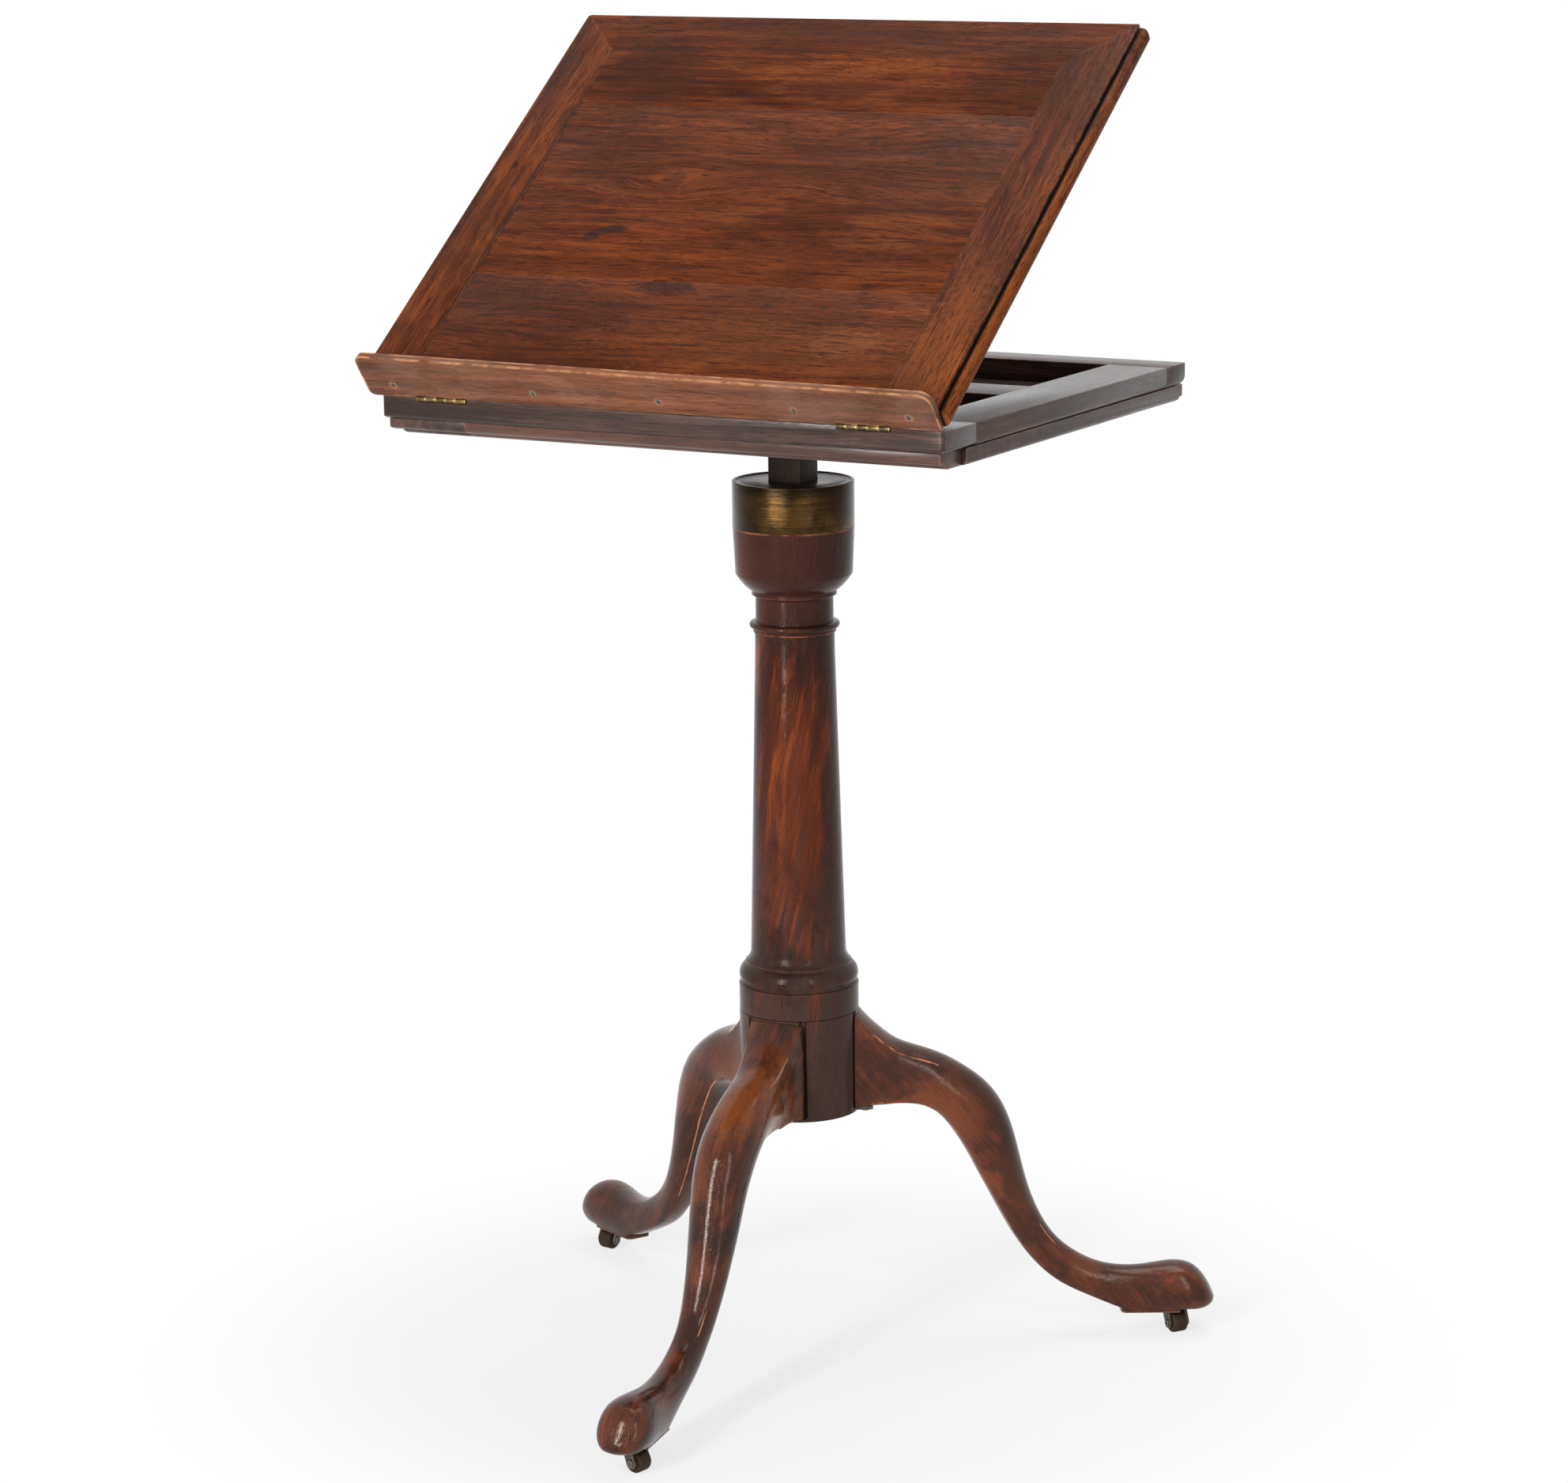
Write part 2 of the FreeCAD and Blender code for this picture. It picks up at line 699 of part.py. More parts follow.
def leg_section(shares):
    """A closed wire across the leg: crown, flank, inner edge and flank, each a shallow arc."""
    outer_out, outer_up, inner_out, inner_up, width, face, inner_face = shares
    rise_to_block = S.block_foot.value - S.pad_height.value
    outer = Vector(outer_out * S.toe_reach.value, 0, outer_up * rise_to_block)
    inner = Vector(inner_out * S.toe_reach.value, 0, inner_up * rise_to_block)
    lift = Vector(0, 0, S.pad_height.value)
    across = Vector(0, 1, 0) * (S.leg_width.value / 2)
    thick = (outer - inner).Length
    rise = (outer - inner).normalize()
    middle = (outer + inner) / 2 + lift

    def at(side, share, level):
        return middle + across * (side * share) + rise * level

    crown = min(CROWN_SHARE * face * S.leg_width.value, CROWN_LIMIT_SHARE * thick)
    inner_crown = INNER_CROWN_SHARE * inner_face * S.leg_width.value
    top = thick / 2
    arris = top - crown
    inner_arris = inner_crown - top
    widest = WIDEST_SHARE * thick
    points = [
        (at(-1, face, arris), at(0, 0, top), at(1, face, arris)),
        (at(1, face, arris), at(1, width, widest), at(1, inner_face, inner_arris)),
        (at(1, inner_face, inner_arris), at(0, 0, -top), at(-1, inner_face, inner_arris)),
        (at(-1, inner_face, inner_arris), at(-1, width, widest), at(-1, face, arris)),
    ]
    return Part.Wire([Part.Arc(*three).toShape() for three in points])


def heel_shape():
    """The square back of the slipper foot on its pad, wider towards the toe."""
    back = S.heel_reach.value
    front = back + S.heel_length.value
    half_back = S.heel_back_width.value / 2
    half_front = S.heel_width.value / 2
    plan = [(back, -half_back), (front, -half_front), (front, half_front), (back, half_back)]
    points = [Vector(x, y, S.pad_height.value) for x, y in plan]
    face = Part.Face(Part.makePolygon(points + points[:1]))
    heel = face.extrude(Vector(0, 0, S.heel_thick.value))
    back_uprights = []
    for edge in heel.Edges:
        box = edge.BoundBox
        if box.ZLength > box.XLength + box.YLength and box.XMax < back + half_back:
            back_uprights.append(edge)
    return heel.makeFillet(S.heel_corner.value, back_uprights)


def tongue_shape():
    """The dovetail tongue, drawn along +X and let into the leg's root."""
    low = S.block_foot.value
    points = [Vector(c.u.value, c.v.value, low) for c in tongue_outline(ZERO)]
    face = Part.Face(Part.makePolygon(points + points[:1]))
    return face.extrude(Vector(0, 0, S.tongue_height.value))


def castor_well(centre_x):
    foot = Vector(centre_x, 0, 0)
    top = S.pad_height.value + S.castor_well_depth.value
    return Part.makeCylinder(S.castor_well_radius.value, top, foot)


def strap_screw_hole():
    tip = Vector(S.strap_screw_reach.value, 0, S.block_foot.value - S.strap_thick.value)
    return Part.makeCylinder(S.strap_screw_radius.value, S.strap_screw_length.value, tip)


def leg_shape():
    """One leg along +X, in its place but for the turn about the column."""
    sections = [leg_section(shares) for shares in LEG_SECTION_SHARES]
    carved = Part.makeLoft(sections, True, False)
    tall = S.block_top.value
    turned_block = Part.makeCylinder(S.block_radius.value, tall)
    leg = carved.cut(turned_block).fuse([tongue_shape(), heel_shape()])
    leg = leg.cut([castor_well(S.castor_reach.value), strap_screw_hole()])
    return leg.removeSplitter().Solids[0]


def make_legs():
    shape = leg_shape()
    for side, angle in LEG_ANGLES.items():
        leg = doc.addObject("Part::Feature", f"leg_{side}_carving")
        leg.Shape = shape
        leg.Placement = Placement(Vector(), Rotation(Vector(0, 0, 1), angle))
        keep(f"leg_{side}", leg)


def make_strap():
    low = S.block_foot - S.strap_thick
    shapes = [rod("strap_disc", S.strap_disc_radius, (ZERO, ZERO, low), S.strap_thick)]
    half = S.strap_half_width
    arm = block("strap_arm", (ZERO, S.strap_reach), (-half, half), (low, S.block_foot))
    tip_low = low - S.strap_head_thick
    hole = rod("strap_hole", S.strap_screw_radius, (S.strap_screw_reach, ZERO, low), S.strap_thick)
    head = rod("strap_head", S.strap_head_radius, (S.strap_screw_reach, ZERO, tip_low), S.strap_head_thick)
    shank_length = S.strap_screw_length + S.strap_head_thick
    shank = rod("strap_shank", S.strap_screw_radius, (S.strap_screw_reach, ZERO, tip_low), shank_length)
    screw = fused("strap_screw", [head, shank])
    holes = []
    screws = []
    for side, angle in LEG_ANGLES.items():
        shapes.append(turned_copy(f"strap_arm_{side}", arm, angle))
        holes.append(turned_copy(f"strap_hole_{side}", hole, angle))
        screws.append(turned_copy(f"strap_screw_{side}", screw, angle))
    keep("iron_strap", cut("strap_solid", fused("strap_plate", shapes), holes))
    keep("strap_screws", group("strap_screw_group", screws))


# Castors, each made with its pintle on the column's axis and its wheel behind it along +X,
# then swivelled, moved out to the toe and turned with its leg


def castor_levels():
    plate_top = S.pad_height + S.castor_well_depth
    plate_low = plate_top - S.castor_plate_thick
    horn_top = plate_low - S.castor_horn_gap
    horn_low = horn_top - S.castor_horn_thick
    return plate_top, plate_low, horn_top, horn_low


def castor_plate(side):
    plate_top, plate_low, horn_top, horn_low = castor_levels()
    plate = rod(f"plate_disc_{side}", S.castor_plate_radius, (ZERO, ZERO, plate_low), S.castor_plate_thick)
    head_low = horn_low - S.castor_horn_gap - S.pintle_head_thick
    pintle = rod(f"pintle_{side}", S.pintle_radius, (ZERO, ZERO, head_low), plate_low - head_low)
    head = rod(f"pintle_head_{side}", S.pintle_head_radius, (ZERO, ZERO, head_low), S.pintle_head_thick)
    return fused(f"plate_{side}", [plate, pintle, head])


def castor_cheek(name, y_low, y_high):
    """One cheek of the horn: a plate that leans from the horn's disc back to the axle."""
    plate_top, plate_low, horn_top, horn_low = castor_levels()
    radius = S.castor_cheek_radius
    wheel_x = S.castor_trail
    axle = S.castor_wheel_radius
    corners = [
        Corner(wheel_x - radius, axle),
        Corner(wheel_x + radius, axle, centre_v=axle),
        Corner(radius, horn_top),
        Corner(-radius, horn_top),
    ]
    return padded(name, "XZ_Plane", corners, y_low, y_high)


def castor_horn(side):
    plate_top, plate_low, horn_top, horn_low = castor_levels()
    inside = S.castor_wheel_width / 2 + S.castor_side_gap
    outside = inside + S.castor_cheek_thick
    disc = rod(f"horn_disc_{side}", S.castor_horn_radius, (ZERO, ZERO, horn_low), S.castor_horn_thick)
    cheeks = [
        castor_cheek(f"cheek_right_{side}", inside, outside),
        castor_cheek(f"cheek_left_{side}", -outside, -inside),
    ]
    hole_radius = S.pintle_radius + S.running_gap
    hole = rod(f"horn_hole_{side}", hole_radius, (ZERO, ZERO, horn_low), S.castor_horn_thick)
    bore_start = (S.castor_trail, -outside, S.castor_wheel_radius)
    bore = rod(f"horn_bore_{side}", S.castor_axle_radius, bore_start, 2 * outside, "Y")
    return cut(f"horn_{side}", fused(f"horn_body_{side}", [disc] + cheeks), [hole, bore])


def castor_axle(side):
    outside = S.castor_wheel_width / 2 + S.castor_side_gap + S.castor_cheek_thick
    start = (S.castor_trail, -outside, S.castor_wheel_radius)
    stem = rod(f"axle_stem_{side}", S.castor_axle_radius, start, 2 * outside, "Y")
    head_starts = (outside, -outside - S.castor_axle_head_thick)
    shapes = [stem]
    for hand, head_start in zip(("right", "left"), head_starts):
        place = (S.castor_trail, head_start, S.castor_wheel_radius)
        name = f"axle_head_{hand}_{side}"
        shapes.append(rod(name, S.castor_axle_head, place, S.castor_axle_head_thick, "Y"))
    return fused(f"axle_{side}", shapes)


def castor_wheel(side):
    half = S.castor_wheel_width / 2
    start = (S.castor_trail, -half, S.castor_wheel_radius)
    tread = rod(f"tread_{side}", S.castor_wheel_radius, start, S.castor_wheel_width, "Y")
    bore_radius = S.castor_axle_radius + S.running_gap
    bore = rod(f"wheel_bore_{side}", bore_radius, start, S.castor_wheel_width, "Y")
    doc.recompute()
    rounded = doc.addObject("Part::Fillet", f"wheel_rounding_{side}")
    rounded.Base = tread
    radius = S.castor_wheel_round.value
    rims = [n for n, e in enumerate(tread.Shape.Edges, start=1) if isinstance(e.Curve, Part.Circle)]
    rounded.Edges = [(n, radius, radius) for n in rims]
    return cut(f"wheel_{side}", rounded, [bore])


def under_toe(name, shape, swivel, angle):
    """A castor's piece, swivelled on its pintle and set under the toe of its leg."""
    set_out = turned_copy(f"{name}_swivelled", shape, swivel)
    bind(set_out, "Placement.Base.x", S.castor_reach)
    return turned_copy(f"{name}_turned", set_out, angle)


def make_castors():
    for side, angle in LEG_ANGLES.items():
        made = {
            "plate": castor_plate(side),
            "horn": castor_horn(side),
            "axle": castor_axle(side),
            "wheel": castor_wheel(side),
        }
        for kind, shape in made.items():
            name = f"castor_{kind}_{side}"
            keep(name, under_toe(name, shape, CASTOR_SWIVELS[side], angle))


# Rising post


def make_post():
    half = S.post_side / 2
    shoulder = S.board_foot
    tenon = S.tenon_side / 2
    stem = block("post_stem", (-half, half), (-half, half), (S.post_foot, shoulder))
    top = shoulder + S.tenon_height
    tongue = block("post_tenon", (-tenon, tenon), (-tenon, tenon), (shoulder, top))
    guide_hole = S.tenon_side / 2
    guide_top = S.post_foot + S.post_guide_height
    waist = block("post_waist", (-half, half), (-half, half), (S.post_foot, guide_top))
    pin = block("post_pin", (-guide_hole, guide_hole), (-guide_hole, guide_hole), (S.post_foot, guide_top))
    screw_foot = S.frame_top - S.post_screw_length
    screw_hole = rod("post_screw_hole", S.post_screw_radius, (ZERO, ZERO, screw_foot), S.post_screw_length)
    body = cut("post_body", fused("post_whole", [stem, tongue]), [waist, screw_hole])
    keep("post", fused("post_solid", [body, pin]))
    radius = S.bore_radius - S.running_gap
    disc = rod("guide_disc", radius, (ZERO, ZERO, S.post_foot), S.post_guide_height)
    hole = block("guide_hole", (-guide_hole, guide_hole), (-guide_hole, guide_hole), (S.post_foot, guide_top))
    keep("post_guide", cut("guide_solid", disc, [hole]))
    tip = (ZERO, ZERO, screw_foot)
    screw = countersunk(
        "post_screw_solid", S.post_screw_radius, S.post_screw_head,
        S.post_screw_head_thick, S.post_screw_length, tip,
    )
    keep("post_screw", screw)


def make_springs():
    strips = []
    face = S.post_side.value / 2
    thick = S.spring_thick.value
    foot = (S.post_foot + S.post_guide_height + S.spring_rise).value
    top = foot + S.spring_length.value
    middle = (foot + top) / 2
    width = S.spring_width.value
    for sign in (-1, 1):
        outer_bow = face + S.spring_bow.value
        inner_bow = outer_bow - thick
        corners = {
            "inner": [(face, foot), (inner_bow, middle), (face, top)],
            "outer": [(face + thick, top), (outer_bow, middle), (face + thick, foot)],
        }
        arcs = []
        for points in corners.values():
            three = [Vector(-width / 2, sign * y, z) for y, z in points]
            arcs.append(Part.Arc(*three).toShape())
        starts = [Vector(-width / 2, sign * y, z) for y, z in (corners["inner"][2], corners["outer"][0])]
        ends = [Vector(-width / 2, sign * y, z) for y, z in (corners["outer"][2], corners["inner"][0])]
        lids = [Part.LineSegment(*starts).toShape(), Part.LineSegment(*ends).toShape()]
        wire = Part.Wire(Part.__sortEdges__(arcs + lids))
        strips.append(Part.Face(wire).extrude(Vector(width, 0, 0)))
    springs = doc.addObject("Part::Feature", "spring_strips")
    springs.Shape = Part.Compound(strips)
    keep("post_springs", springs)


# Top: the lower board and the open frame on it


def moulded_edge(edge, inward, top, low):
    """The lower board's moulded edge, from its underside up to its top face."""
    flat = top - S.board_edge_flat
    ovolo = flat - S.board_ovolo_drop
    step = ovolo - S.board_step_drop
    first = edge + inward * S.board_ovolo_in
    second = first + inward * S.board_step_in
    third = second + inward * S.board_lower_ovolo_in
    return [
        (third, low, None),
        (second, step, third),
        (first, ovolo, None),
        (edge, flat, first),
        (edge, top, None),
    ]


def rounded_edge(edge, inward, top, low):
    """The lower board's right edge, plain but for its rubbed lower arris."""
    inner = edge + inward * S.board_right_round
    return [
        (inner, low, None),
        (edge, low + S.board_right_round, inner),
        (edge, top, None),
    ]


def board_profile(rising, falling):
    """The outline across the board: up one edge and down the other."""
    corners = [Corner(u, v, centre_u=c) for u, v, c in rising]
    for number in range(len(falling) - 1, -1, -1):
        u, v, unused = falling[number]
        centre = falling[number + 1][2] if number + 1 < len(falling) else None
        corners.append(Corner(u, v, centre_u=centre))
    return corners


def board_limits():
    left = S.board_side_inset - S.frame_width / 2
    right = S.frame_width / 2 - S.board_side_inset
    front = S.board_front_inset - S.frame_depth / 2
    back = S.frame_depth / 2 - S.board_back_inset
    return left, right, front, back


def make_lower_board():
    left, right, front, back = board_limits()
    top = S.rail_foot
    low = S.board_foot
    sides = board_profile(rounded_edge(right, -1, top, low), moulded_edge(left, 1, top, low))
    ends = board_profile(moulded_edge(back, -1, top, low), moulded_edge(front, 1, top, low))
    across = padded("board_across", "XZ_Plane", sides, front, back)
    along = padded("board_along", "YZ_Plane", ends, left, right)
    plan = padded(
        "board_plan", "XY_Plane", rounded_corners(left, right, front, back, S.frame_corner), low, top,
    )
    blank = common("board_blank", [across, along, plan])
    tenon = S.tenon_side / 2
    mortise = block("board_mortise", (-tenon, tenon), (-tenon, tenon), (low, top))
    holes = [mortise] + frame_screw_holes()
    solid = cut("board_pierced", blank, holes)
    clamp_edge = left + S.board_left_clamp_width
    strip_edge = front + S.board_front_strip_width
    strip_end = right - S.board_strip_setback
    parts = {
        "board_left_clamp": ((left, clamp_edge), (front, back)),
        "board_front_strip": ((clamp_edge, strip_end), (front, strip_edge)),
        "board_main": ((clamp_edge, right), (strip_edge, back)),
    }
    for name, (x_range, y_range) in parts.items():
        box = block(f"{name}_box", x_range, y_range, (low, top))
        keep(name, common(f"{name}_solid", [solid, box]))


def frame_profile(left, right, left_round, right_round):
    top = S.frame_top
    low = S.rail_foot
    return [
        Corner(right - right_round, low),
        Corner(right, low + right_round, centre_u=right - right_round),
        Corner(right, top),
        Corner(left, top),
        Corner(left, low + left_round),
        Corner(left + left_round, low, centre_u=left + left_round),
    ]


def hinge_line():
    return S.hinge_setback - S.frame_depth / 2, S.frame_top - S.hinge_drop


def hinge_centres():
    return {"left": S.hinge_left_centre, "right": S.hinge_right_centre}


def frame_hinge_rebates():
    """Room in the front rail for each hinge's knuckles and lower leaf."""
    y, z = hinge_line()
    tools = []
    for side, centre in hinge_centres().items():
        half = S.hinge_length / 2 + S.knuckle_clearance
        reach = S.knuckle_radius + S.knuckle_clearance
        tools.append(rod(f"rebate_knuckle_{side}", reach, (centre - half, y, z), 2 * half, "X"))
        leaf_low = S.frame_top - S.hinge_leaf_thick
        x_range = (centre - half, centre + half)
        y_range = (y, y + S.hinge_leaf_width)
        tools.append(block(f"rebate_leaf_{side}", x_range, y_range, (leaf_low, S.frame_top)))
        tools.extend(lower_leaf_holes(side, centre, y, leaf_low))
    return tools


def lower_leaf_holes(side, centre, y, leaf_low):
    holes = []
    for number, x in enumerate(hinge_screw_places(centre)):
        low = S.frame_top - S.hinge_screw_length
        place = (x, y + S.hinge_screw_setback, low)
        holes.append(rod(f"rail_hole_{side}_{number}", S.hinge_screw_radius, place, leaf_low - low))
    return holes


def hinge_screw_places(centre):
    return [centre - S.hinge_screw_spread, centre, centre + S.hinge_screw_spread]


def arm_notches():
    """The two notches in the cross rail where the strut's arms lie when the slope is down."""
    made = []
    half = S.strut_arm_width / 2 + S.notch_side_gap
    for side, sign in (("left", -1), ("right", 1)):
        centre = sign * S.strut_arm_spread
        z_range = (S.frame_top - S.notch_depth, S.frame_top)
        y_range = (-S.cross_rail_front, S.cross_rail_back)
        made.append(block(f"notch_{side}", (centre - half, centre + half), y_range, z_range))
    return made


def frame_screw_places():
    """Screws up through the lower board into the rails: four at the sides, four front and back."""
    side = S.frame_width / 2 - S.side_rail_width / 2
    front = S.front_rail_width / 2 - S.frame_depth / 2
    back = S.frame_depth / 2 - S.back_rail_width / 2
    middle = S.strut_arm_spread
    places = []
    for y in (front, back):
        for x in (-side, -middle, middle, side):
            places.append((x, y))
    return places


def frame_screw_holes():
    low = S.board_foot
    length = S.board_thick + S.frame_screw_depth
    holes = []
    for number, (x, y) in enumerate(frame_screw_places()):
        name = f"frame_screw_hole_{number}"
        shank = rod(f"{name}_shank", S.frame_screw_radius, (x, y, low), length)
        cone = doc.addObject("Part::Cone", f"{name}_sink")
        bind(cone, "Radius1", S.frame_screw_head)
        bind(cone, "Radius2", S.frame_screw_radius)
        bind(cone, "Height", S.frame_screw_head_thick)
        bind_base(cone, (x, y, low))
        holes.append(fused(name, [shank, cone]))
    keep("frame_screws", group("frame_screw_group", holes))
    return holes


def make_frame(screw_holes):
    half_width = S.frame_width / 2
    half_depth = S.frame_depth / 2
    top = S.frame_top
    low = S.rail_foot
    small = S.rail_edge_round
    across_corners = frame_profile(-half_width, half_width, small, small)
    along_corners = frame_profile(-half_depth, half_depth, small, S.back_edge_round)
    plan_corners = rounded_corners(-half_width, half_width, -half_depth, half_depth, S.frame_corner)
    across = padded("frame_across", "XZ_Plane", across_corners, -half_depth, half_depth)
    along = padded("frame_along", "YZ_Plane", along_corners, -half_width, half_width)
    plan = padded("frame_plan", "XY_Plane", plan_corners, low, top)
    blank = common("frame_blank", [across, along, plan])
    screw_tools = [copy_of(hole) for hole in screw_holes]
    solid = cut("frame_pierced", blank, screw_tools + frame_hinge_rebates())
    front_edge = S.front_rail_width - half_depth
    back_edge = S.well_back
    side_edge = half_width - S.side_rail_width
    parts = {
        "frame_front_rail": ((-half_width, half_width), (-half_depth, front_edge)),
        "frame_back_rail": ((-half_width, half_width), (back_edge, half_depth)),
        "frame_left_rail": ((-half_width, -side_edge), (front_edge, back_edge)),
        "frame_right_rail": ((side_edge, half_width), (front_edge, back_edge)),
    }
    for name, (x_range, y_range) in parts.items():
        box = block(f"{name}_box", x_range, y_range, (low, top))
        keep(name, common(f"{name}_solid", [solid, box]))
    make_cross_rail(side_edge, low, top)


def copy_of(source):
    thing = doc.addObject("Part::Compound", f"{source.Name}_again")
    thing.Links = [source]
    return thing


def make_cross_rail(side_edge, low, top):
    y_range = (-S.cross_rail_front, S.cross_rail_back)
    rail = block("cross_rail_box", (-side_edge, side_edge), y_range, (low, top))
    tenon = S.tenon_side / 2
    tenon_top = S.board_foot + S.tenon_height
    mortise = block("cross_mortise", (-tenon, tenon), (-tenon, tenon), (low, tenon_top))
    screw_foot = S.frame_top - S.post_screw_length
    screw = countersunk(
        "cross_screw_hole", S.post_screw_radius, S.post_screw_head,
        S.post_screw_head_thick, S.post_screw_length, (ZERO, ZERO, screw_foot),
    )
    keep("frame_cross_rail", cut("cross_rail_solid", rail, [mortise, screw] + arm_notches()))


# Ratchet strips


def foot_line_height(reach):
    """Height of the strut foot's centre when it stands at this distance behind the hinge line."""
    y, z = hinge_line()
    return z - S.strut_foot_drop * reach / (2 * S.strut_reach)


def ratchet_outline():
    hinge_y, hinge_z = hinge_line()
    front = S.cross_rail_back + S.ratchet_front_gap
    low = S.rail_foot
    clearance = S.strut_foot_radius + S.ratchet_tip_gap
    corners = [Corner(front, low), Corner(front + RATCHET_TEETH * S.ratchet_pitch, low)]
    for number in range(RATCHET_TEETH, 0, -1):
        back = front + number * S.ratchet_pitch
        tip = foot_line_height(back - hinge_y) - clearance
        corners.append(Corner(back, tip))
        start = back - S.ratchet_pitch
        root = foot_line_height(start - hinge_y) - clearance - S.ratchet_tooth_depth
        corners.append(Corner(start, root))
    return corners


def make_ratchets():
    half = S.ratchet_width / 2
    for side, sign in (("left", -1), ("right", 1)):
        centre = sign * S.ratchet_spread
        strip = padded(f"ratchet_{side}_solid", "YZ_Plane", ratchet_outline(), centre - half, centre + half)
        keep(f"ratchet_{side}", strip)


# Hinges. The knuckles take turns between the two leaves, the outer ones on the lower leaf.

KNUCKLES = 5


def leaf_shape(lower):
    """A leaf with its knuckles about the origin, along X; the lower leaf hangs under its top face."""
    length = S.hinge_length.value
    segment = length / KNUCKLES
    thick = S.hinge_leaf_thick.value
    radius = S.knuckle_radius.value
    bottom = S.hinge_drop.value - thick if lower else S.slope_underside.value
    shapes = []
    for number in range(KNUCKLES):
        start = number * segment - length / 2
        own = (number % 2 == 0) == lower
        edge = 0 if own else radius + S.knuckle_clearance.value
        width = S.hinge_leaf_width.value - edge
        shapes.append(Part.makeBox(segment, width, thick, Vector(start, edge, bottom)))
        if own:
            inset = S.knuckle_gap.value / 2
            begin = Vector(start + inset, 0, 0)
            shapes.append(Part.makeCylinder(radius, segment - 2 * inset, begin, Vector(1, 0, 0)))
    leaf = shapes[0].fuse(shapes[1:]).removeSplitter()
    bore = S.hinge_pin_radius.value
    if not lower:
        bore += S.running_gap.value
    hole = Part.makeCylinder(bore, length, Vector(-length / 2, 0, 0), Vector(1, 0, 0))
    return trim_own_slots(leaf, lower, segment, length).cut(hole)


def trim_own_slots(leaf, lower, segment, length):
    """Cut the other leaf's knuckles free with a gap at each end."""
    inset = S.knuckle_gap.value / 2
    reach = S.knuckle_radius.value + S.knuckle_clearance.value
    for number in range(KNUCKLES):
        if (number % 2 == 0) == lower:
            continue
        start = number * segment - length / 2 - inset
        size = segment + 2 * inset
        slot = Part.makeBox(size, 2 * reach, 2 * reach, Vector(start, -reach, -reach))
        leaf = leaf.cut(slot)
    return leaf


def leaf_screw_holes(lower):
    """Countersunk holes, in the leaf's own frame."""
    holes = []
    y = S.hinge_screw_setback.value
    thick = S.hinge_leaf_thick.value
    bottom = S.hinge_drop.value - thick if lower else S.slope_underside.value
    for x in (-S.hinge_screw_spread.value, 0, S.hinge_screw_spread.value):
        small = S.hinge_screw_radius.value
        big = S.hinge_screw_head.value
        radii = (small, big) if lower else (big, small)
        holes.append(Part.makeCone(radii[0], radii[1], thick, Vector(x, y, bottom)))
    return holes


def leaf_screws(lower):
    """The screws of one leaf: a cone in the leaf and a shank in the wood."""
    shapes = []
    shank = S.hinge_screw_length.value - S.hinge_leaf_thick.value
    thick = S.hinge_leaf_thick.value
    y = S.hinge_screw_setback.value
    top = S.hinge_drop.value - thick if lower else S.slope_underside.value + thick
    down = -1 if lower else 1
    for cone, x in zip(leaf_screw_holes(lower), (-S.hinge_screw_spread.value, 0, S.hinge_screw_spread.value)):
        stem = Part.makeCylinder(S.hinge_screw_radius.value, shank, Vector(x, y, top), Vector(0, 0, down))
        shapes.append(cone.fuse(stem))
    return shapes


def shaped(name, shape, place):
    """A finished shape at its place."""
    thing = doc.addObject("Part::Feature", f"{name}_shape")
    thing.Shape = shape
    thing.Placement = place
    return thing


def closed_place(x=0.0):
    y, z = hinge_line()
    return Placement(Vector(x, y.value, z.value), Rotation())


def slope_place(x=0.0):
    y, z = hinge_line()
    return Placement(Vector(x, y.value, z.value), Rotation(Vector(1, 0, 0), S.slope_angle.value))


def make_hinges():
    lower_screws = []
    upper_screws = []
    length = S.hinge_length.value
    for side, centre in hinge_centres().items():
        down = leaf_shape(True).cut(leaf_screw_holes(True))
        up = leaf_shape(False).cut(leaf_screw_holes(False))
        pin = Part.makeCylinder(S.hinge_pin_radius.value, length, Vector(-length / 2, 0, 0), Vector(1, 0, 0))
        at_rest = closed_place(centre.value)
        raised = slope_place(centre.value)
        keep(f"hinge_lower_leaf_{side}", shaped(f"lower_leaf_{side}", down, at_rest))
        keep(f"hinge_upper_leaf_{side}", shaped(f"upper_leaf_{side}", up, raised))
        keep(f"hinge_pin_{side}", shaped(f"pin_{side}", pin, at_rest))
        lower_screws += [shape.transformed(at_rest.toMatrix()) for shape in leaf_screws(True)]
        upper_screws += [shape.transformed(raised.toMatrix()) for shape in leaf_screws(False)]
    keep("hinge_lower_screws", shaped("lower_screw_set", Part.Compound(lower_screws), Placement()))
    keep("hinge_upper_screws", shaped("upper_screw_set", Part.Compound(upper_screws), Placement()))


# Slope, drawn shut: X across, Y up the slope from the hinge line, Z off the board


def slope_side_profile():
    """The slope seen along Y: a bead low on each side edge, a quirk above it."""
    low = S.slope_underside
    top = low + S.slope_thick
    bead_top = low + S.bead_height
    quirk_top = bead_top + S.quirk_width
    left = S.slope_left
    right = S.slope_right
    bead_left = left - S.bead_left_proud + S.bead_height / 2
    bead_right = right + S.bead_right_proud - S.bead_height / 2
    quirk_left = bead_left + S.quirk_depth
    quirk_right = bead_right - S.quirk_depth
    return [
        Corner(bead_right, low),
        Corner(bead_right, bead_top, centre_u=bead_right),
        Corner(quirk_right, bead_top),
        Corner(quirk_right, quirk_top),
        Corner(right, quirk_top),
        Corner(right, top),
        Corner(left, top),
        Corner(left, quirk_top),
        Corner(quirk_left, quirk_top),
        Corner(quirk_left, bead_top),
        Corner(bead_left, bead_top),
        Corner(bead_left, low, centre_u=bead_left),
    ]


def slope_outer_sides():
    return S.slope_left - S.bead_left_proud, S.slope_right + S.bead_right_proud


